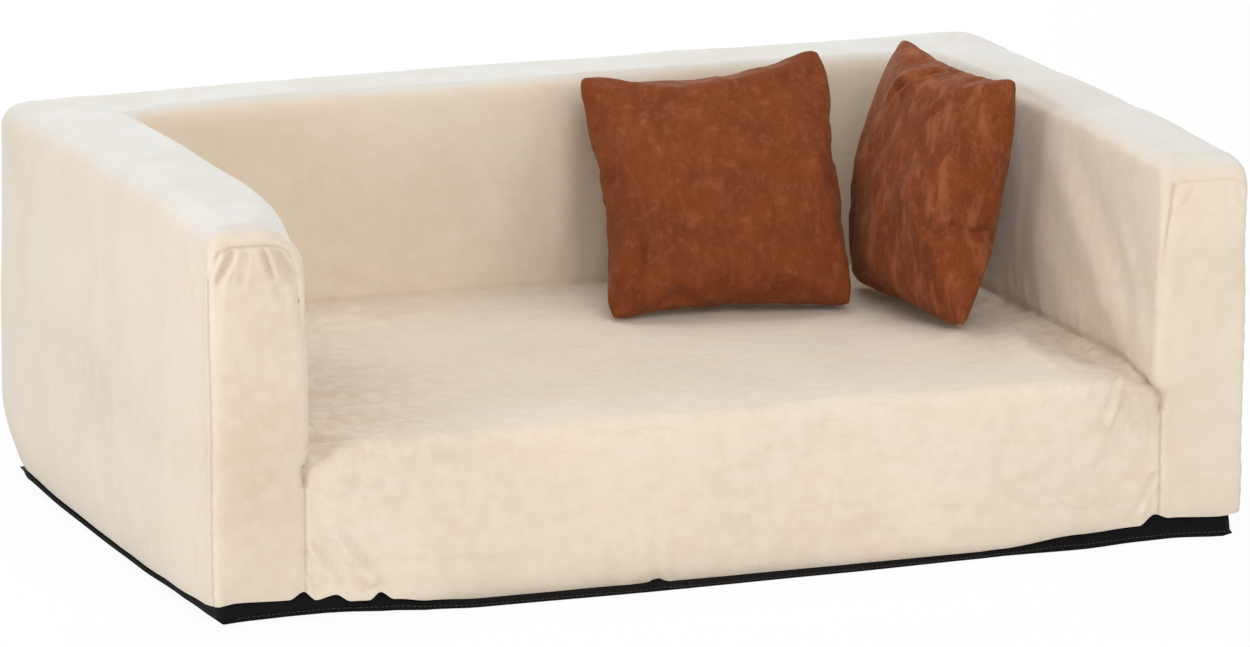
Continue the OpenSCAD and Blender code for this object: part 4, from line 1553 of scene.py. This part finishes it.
def suede(name, turn, blotches):
    hide = Finish(name)
    broad = hide.ramp(hide.noise(24.0, detail=4.0, rough=0.6, twist=0.2), 0.38, 0.68)
    patch = hide.ramp(hide.noise(75.0, detail=4.0, rough=0.65, twist=0.3), 0.48, 0.74)
    along = hide.place(scale=(120, 120, 15), turn=turn)
    streak = hide.ramp(hide.noise(1.0, along, detail=4.0, rough=0.65), 0.48, 0.76)
    fibre = hide.noise(1400.0, detail=2.0)
    speck = hide.ramp(hide.noise(330.0, detail=3.0, rough=0.7), 0.48, 0.78)
    stroked = hide.place(scale=(58, 58, 22), turn=turn)
    blotch = hide.ramp(hide.noise(1.0, stroked, detail=4.0, rough=0.6, twist=0.3), 0.45, 0.70)
    soft = hide.bump(broad + patch * 0.5, 0.0010, 0.5)
    return hide.wear(
        Base_Color=hide.layers(
            RUST,
            (broad * 0.45, RUST_DARK),
            (patch * 0.38, RUST_PALE),
            (blotch * blotches, RUST_PALE),
            (streak * 0.20, RUST_PALE),
            (speck * 0.22, RUST_PALE),
        ),
        Roughness=hide.ramp(fibre, 0.2, 0.8) * 0.1 + 0.82,
        Normal=hide.bump(fibre, 0.0003, 0.5, under=soft),
        Sheen_Weight=0.10,
        Sheen_Roughness=0.5,
        Sheen_Tint=(1.0, 0.60, 0.40, 1.0),
        Specular_IOR_Level=0.2,
    )


left_suede = suede("rust_suede_left", (0, math.radians(60), 0), blotches=0.12)
right_suede = suede("rust_suede_right", (math.radians(25), 0, 0), blotches=0.62)
for cloths, finish in ((left_cloths, left_suede), (right_cloths, right_suede)):
    for piece in cloths:
        piece.data.materials.append(finish)
        print(finish.name, "on", piece.name)

# %% [markdown]
# **Black base cloth and zip tape.** A plain weave of thick black yarn with tiny
# non-slip dots between. Two waves crossed give the weave's over and under.

# %% Black woven cloth
def weave(name, pitch, colour, lighter, depth):
    cloth = Finish(name)
    here = cloth.place()
    waves = []
    for direction, spacing in (("X", 3.1416), ("DIAGONAL", 4.2)):
        settings = {"wave_type": "BANDS", "bands_direction": direction}
        inputs = {"Scale": 1 / (pitch * spacing), "Distortion": 0.4, "Detail": 1.0}
        waves.append(cloth.add("ShaderNodeTexWave", settings, {"Vector": here, **inputs}))
    worn = cloth.ramp(cloth.noise(35.0, detail=4.0, rough=0.65), 0.45, 0.75)
    yarn = waves[0] * waves[1]
    colour_now = cloth.blend(yarn * 0.5 + worn * 0.3, colour, lighter)
    return cloth.wear(
        Base_Color=colour_now,
        Roughness=worn * 0.12 + 0.74,
        Normal=cloth.bump(yarn, depth, 0.7),
        Specular_IOR_Level=0.12,
    )


BLACK, WORN_BLACK = (0.0025, 0.0025, 0.0025), (0.009, 0.0075, 0.007)
TAPE_BLACK, TAPE_WORN = (0.012, 0.012, 0.012), (0.035, 0.035, 0.036)
base.data.materials.append(weave("black_base_cloth", 0.0012, BLACK, WORN_BLACK, 0.0003))
tape_finish = weave("black_zip_tape", 0.0007, TAPE_BLACK, TAPE_WORN, 0.0002)
for piece in (upper_tape, lower_tape):
    piece.data.materials.append(tape_finish)
print("weave on", base.name, upper_tape.name, lower_tape.name)

# %% Thread, foam, zip teeth and lacquered zinc
GREY, DARK_GREY = (0.045, 0.043, 0.04), (0.018, 0.017, 0.017)
thread = Finish("grey_thread")
twist = thread.noise(2400.0, detail=1.0)
thread.wear(
    Base_Color=thread.blend(thread.ramp(twist, 0.3, 0.7), GREY, DARK_GREY),
    Roughness=0.7,
    Normal=thread.bump(twist, 0.0001, 0.5),
)
stitching.data.materials.append(thread.material)


def foam(name, colour, darker, size):
    cells = Finish(name)
    pore = cells.add("ShaderNodeTexVoronoi", {}, {"Vector": cells.place(), "Scale": 1 / size})
    open_cell = cells.ramp(pore, 0.15, 0.6)
    aged = cells.ramp(cells.noise(14.0), 0.4, 0.7)
    return cells.wear(
        Base_Color=cells.blend(open_cell * 0.4 + aged * 0.3, colour, darker),
        Roughness=aged * 0.05 + 0.9,
        Normal=cells.bump(open_cell, 0.0006, 0.7),
        Specular_IOR_Level=0.2,
    )


slab_foam = foam("cut_foam", (0.80, 0.73, 0.46), (0.62, 0.54, 0.30), 0.0016)
fibre_fill = foam("fibre_filling", (0.82, 0.81, 0.78), (0.66, 0.65, 0.62), 0.0030)
for piece in slabs:
    piece.data.materials.append(slab_foam)
for piece in (left_pad, right_pad):
    piece.data.materials.append(fibre_fill)

TOOTH_BLACK, TOOTH_HAZE = (0.014, 0.014, 0.014), (0.03, 0.03, 0.031)
plastic = Finish("black_zip_plastic")
haze = plastic.noise(120.0, detail=3.0)
plastic.wear(
    Base_Color=plastic.blend(plastic.ramp(haze, 0.4, 0.7), TOOTH_BLACK, TOOTH_HAZE),
    Roughness=plastic.ramp(haze, 0.3, 0.7) * 0.15 + 0.38,
    Normal=plastic.bump(haze, 0.00008, 0.4),
)
zinc = Finish("dark_lacquered_zinc")
rub = zinc.ramp(zinc.noise(260.0, detail=4.0, rough=0.7), 0.52, 0.72)
zinc.wear(
    Base_Color=zinc.blend(rub * 0.35, (0.05, 0.05, 0.053), (0.30, 0.29, 0.28)),
    Metallic=0.85,
    Roughness=rub * 0.2 + 0.3,
    Normal=zinc.bump(rub, 0.00005, 0.4),
)
WORN_BY = {plastic: ("upper_teeth", "lower_teeth"), zinc: ("stops", "slider", "pull")}
for finish, ends in WORN_BY.items():
    for end in ends:
        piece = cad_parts["rear_zip_" + end]
        piece.data.materials.clear()
        piece.data.materials.append(finish.material)
        print(finish.material.name, "on", piece.name)

# %% [markdown]
# ## Every piece rides on a body
# The cover, base and foam belong to the sofa, and each cushion to its own body, so
# that a lifted cushion takes its cloth and its stuffing with it.

# %% What each piece stands for and what it was cut from
STANDS_FOR = {
    "left_arm_panel": ("left_arm_cover", (0.70, 0.72), 0.48),
    "right_arm_panel": ("right_arm_cover", (0.70, 0.72), 0.48),
    "left_front_panel": ("left_arm_front_panel", (0.106, 0.366), 0.038),
    "right_front_panel": ("right_arm_front_panel", (0.106, 0.366), 0.038),
    "back_panel": ("back_cover", (0.73, 1.10), 0.73),
    "seat_panel_cloth": ("seat_panel", (0.766, 0.92), 0.70),
}
for name, (node, flat, area) in STANDS_FOR.items():
    piece = panels[name]
    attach(piece, "sofa")
    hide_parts(node)
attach(base, "sofa")
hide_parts("base_cloth")
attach(stitching, "sofa")
for piece in (upper_tape, lower_tape):
    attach(piece, "sofa")
for piece in slabs:
    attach(piece, "sofa")
cushions = {"left_cushion": (*left_cloths, left_pad), "right_cushion": (*right_cloths, right_pad)}
for body, (back_half, front_half, pad) in cushions.items():
    for piece, node in ((front_half, body + "_front_cover"), (back_half, body + "_back_cover")):
        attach(piece, body)
        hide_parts(node)
    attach(pad, body)
    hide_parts(body + "_pad")
print(len(STANDS_FOR), "panels,", len(slabs), "slabs and", len(cushions), "cushions ride")
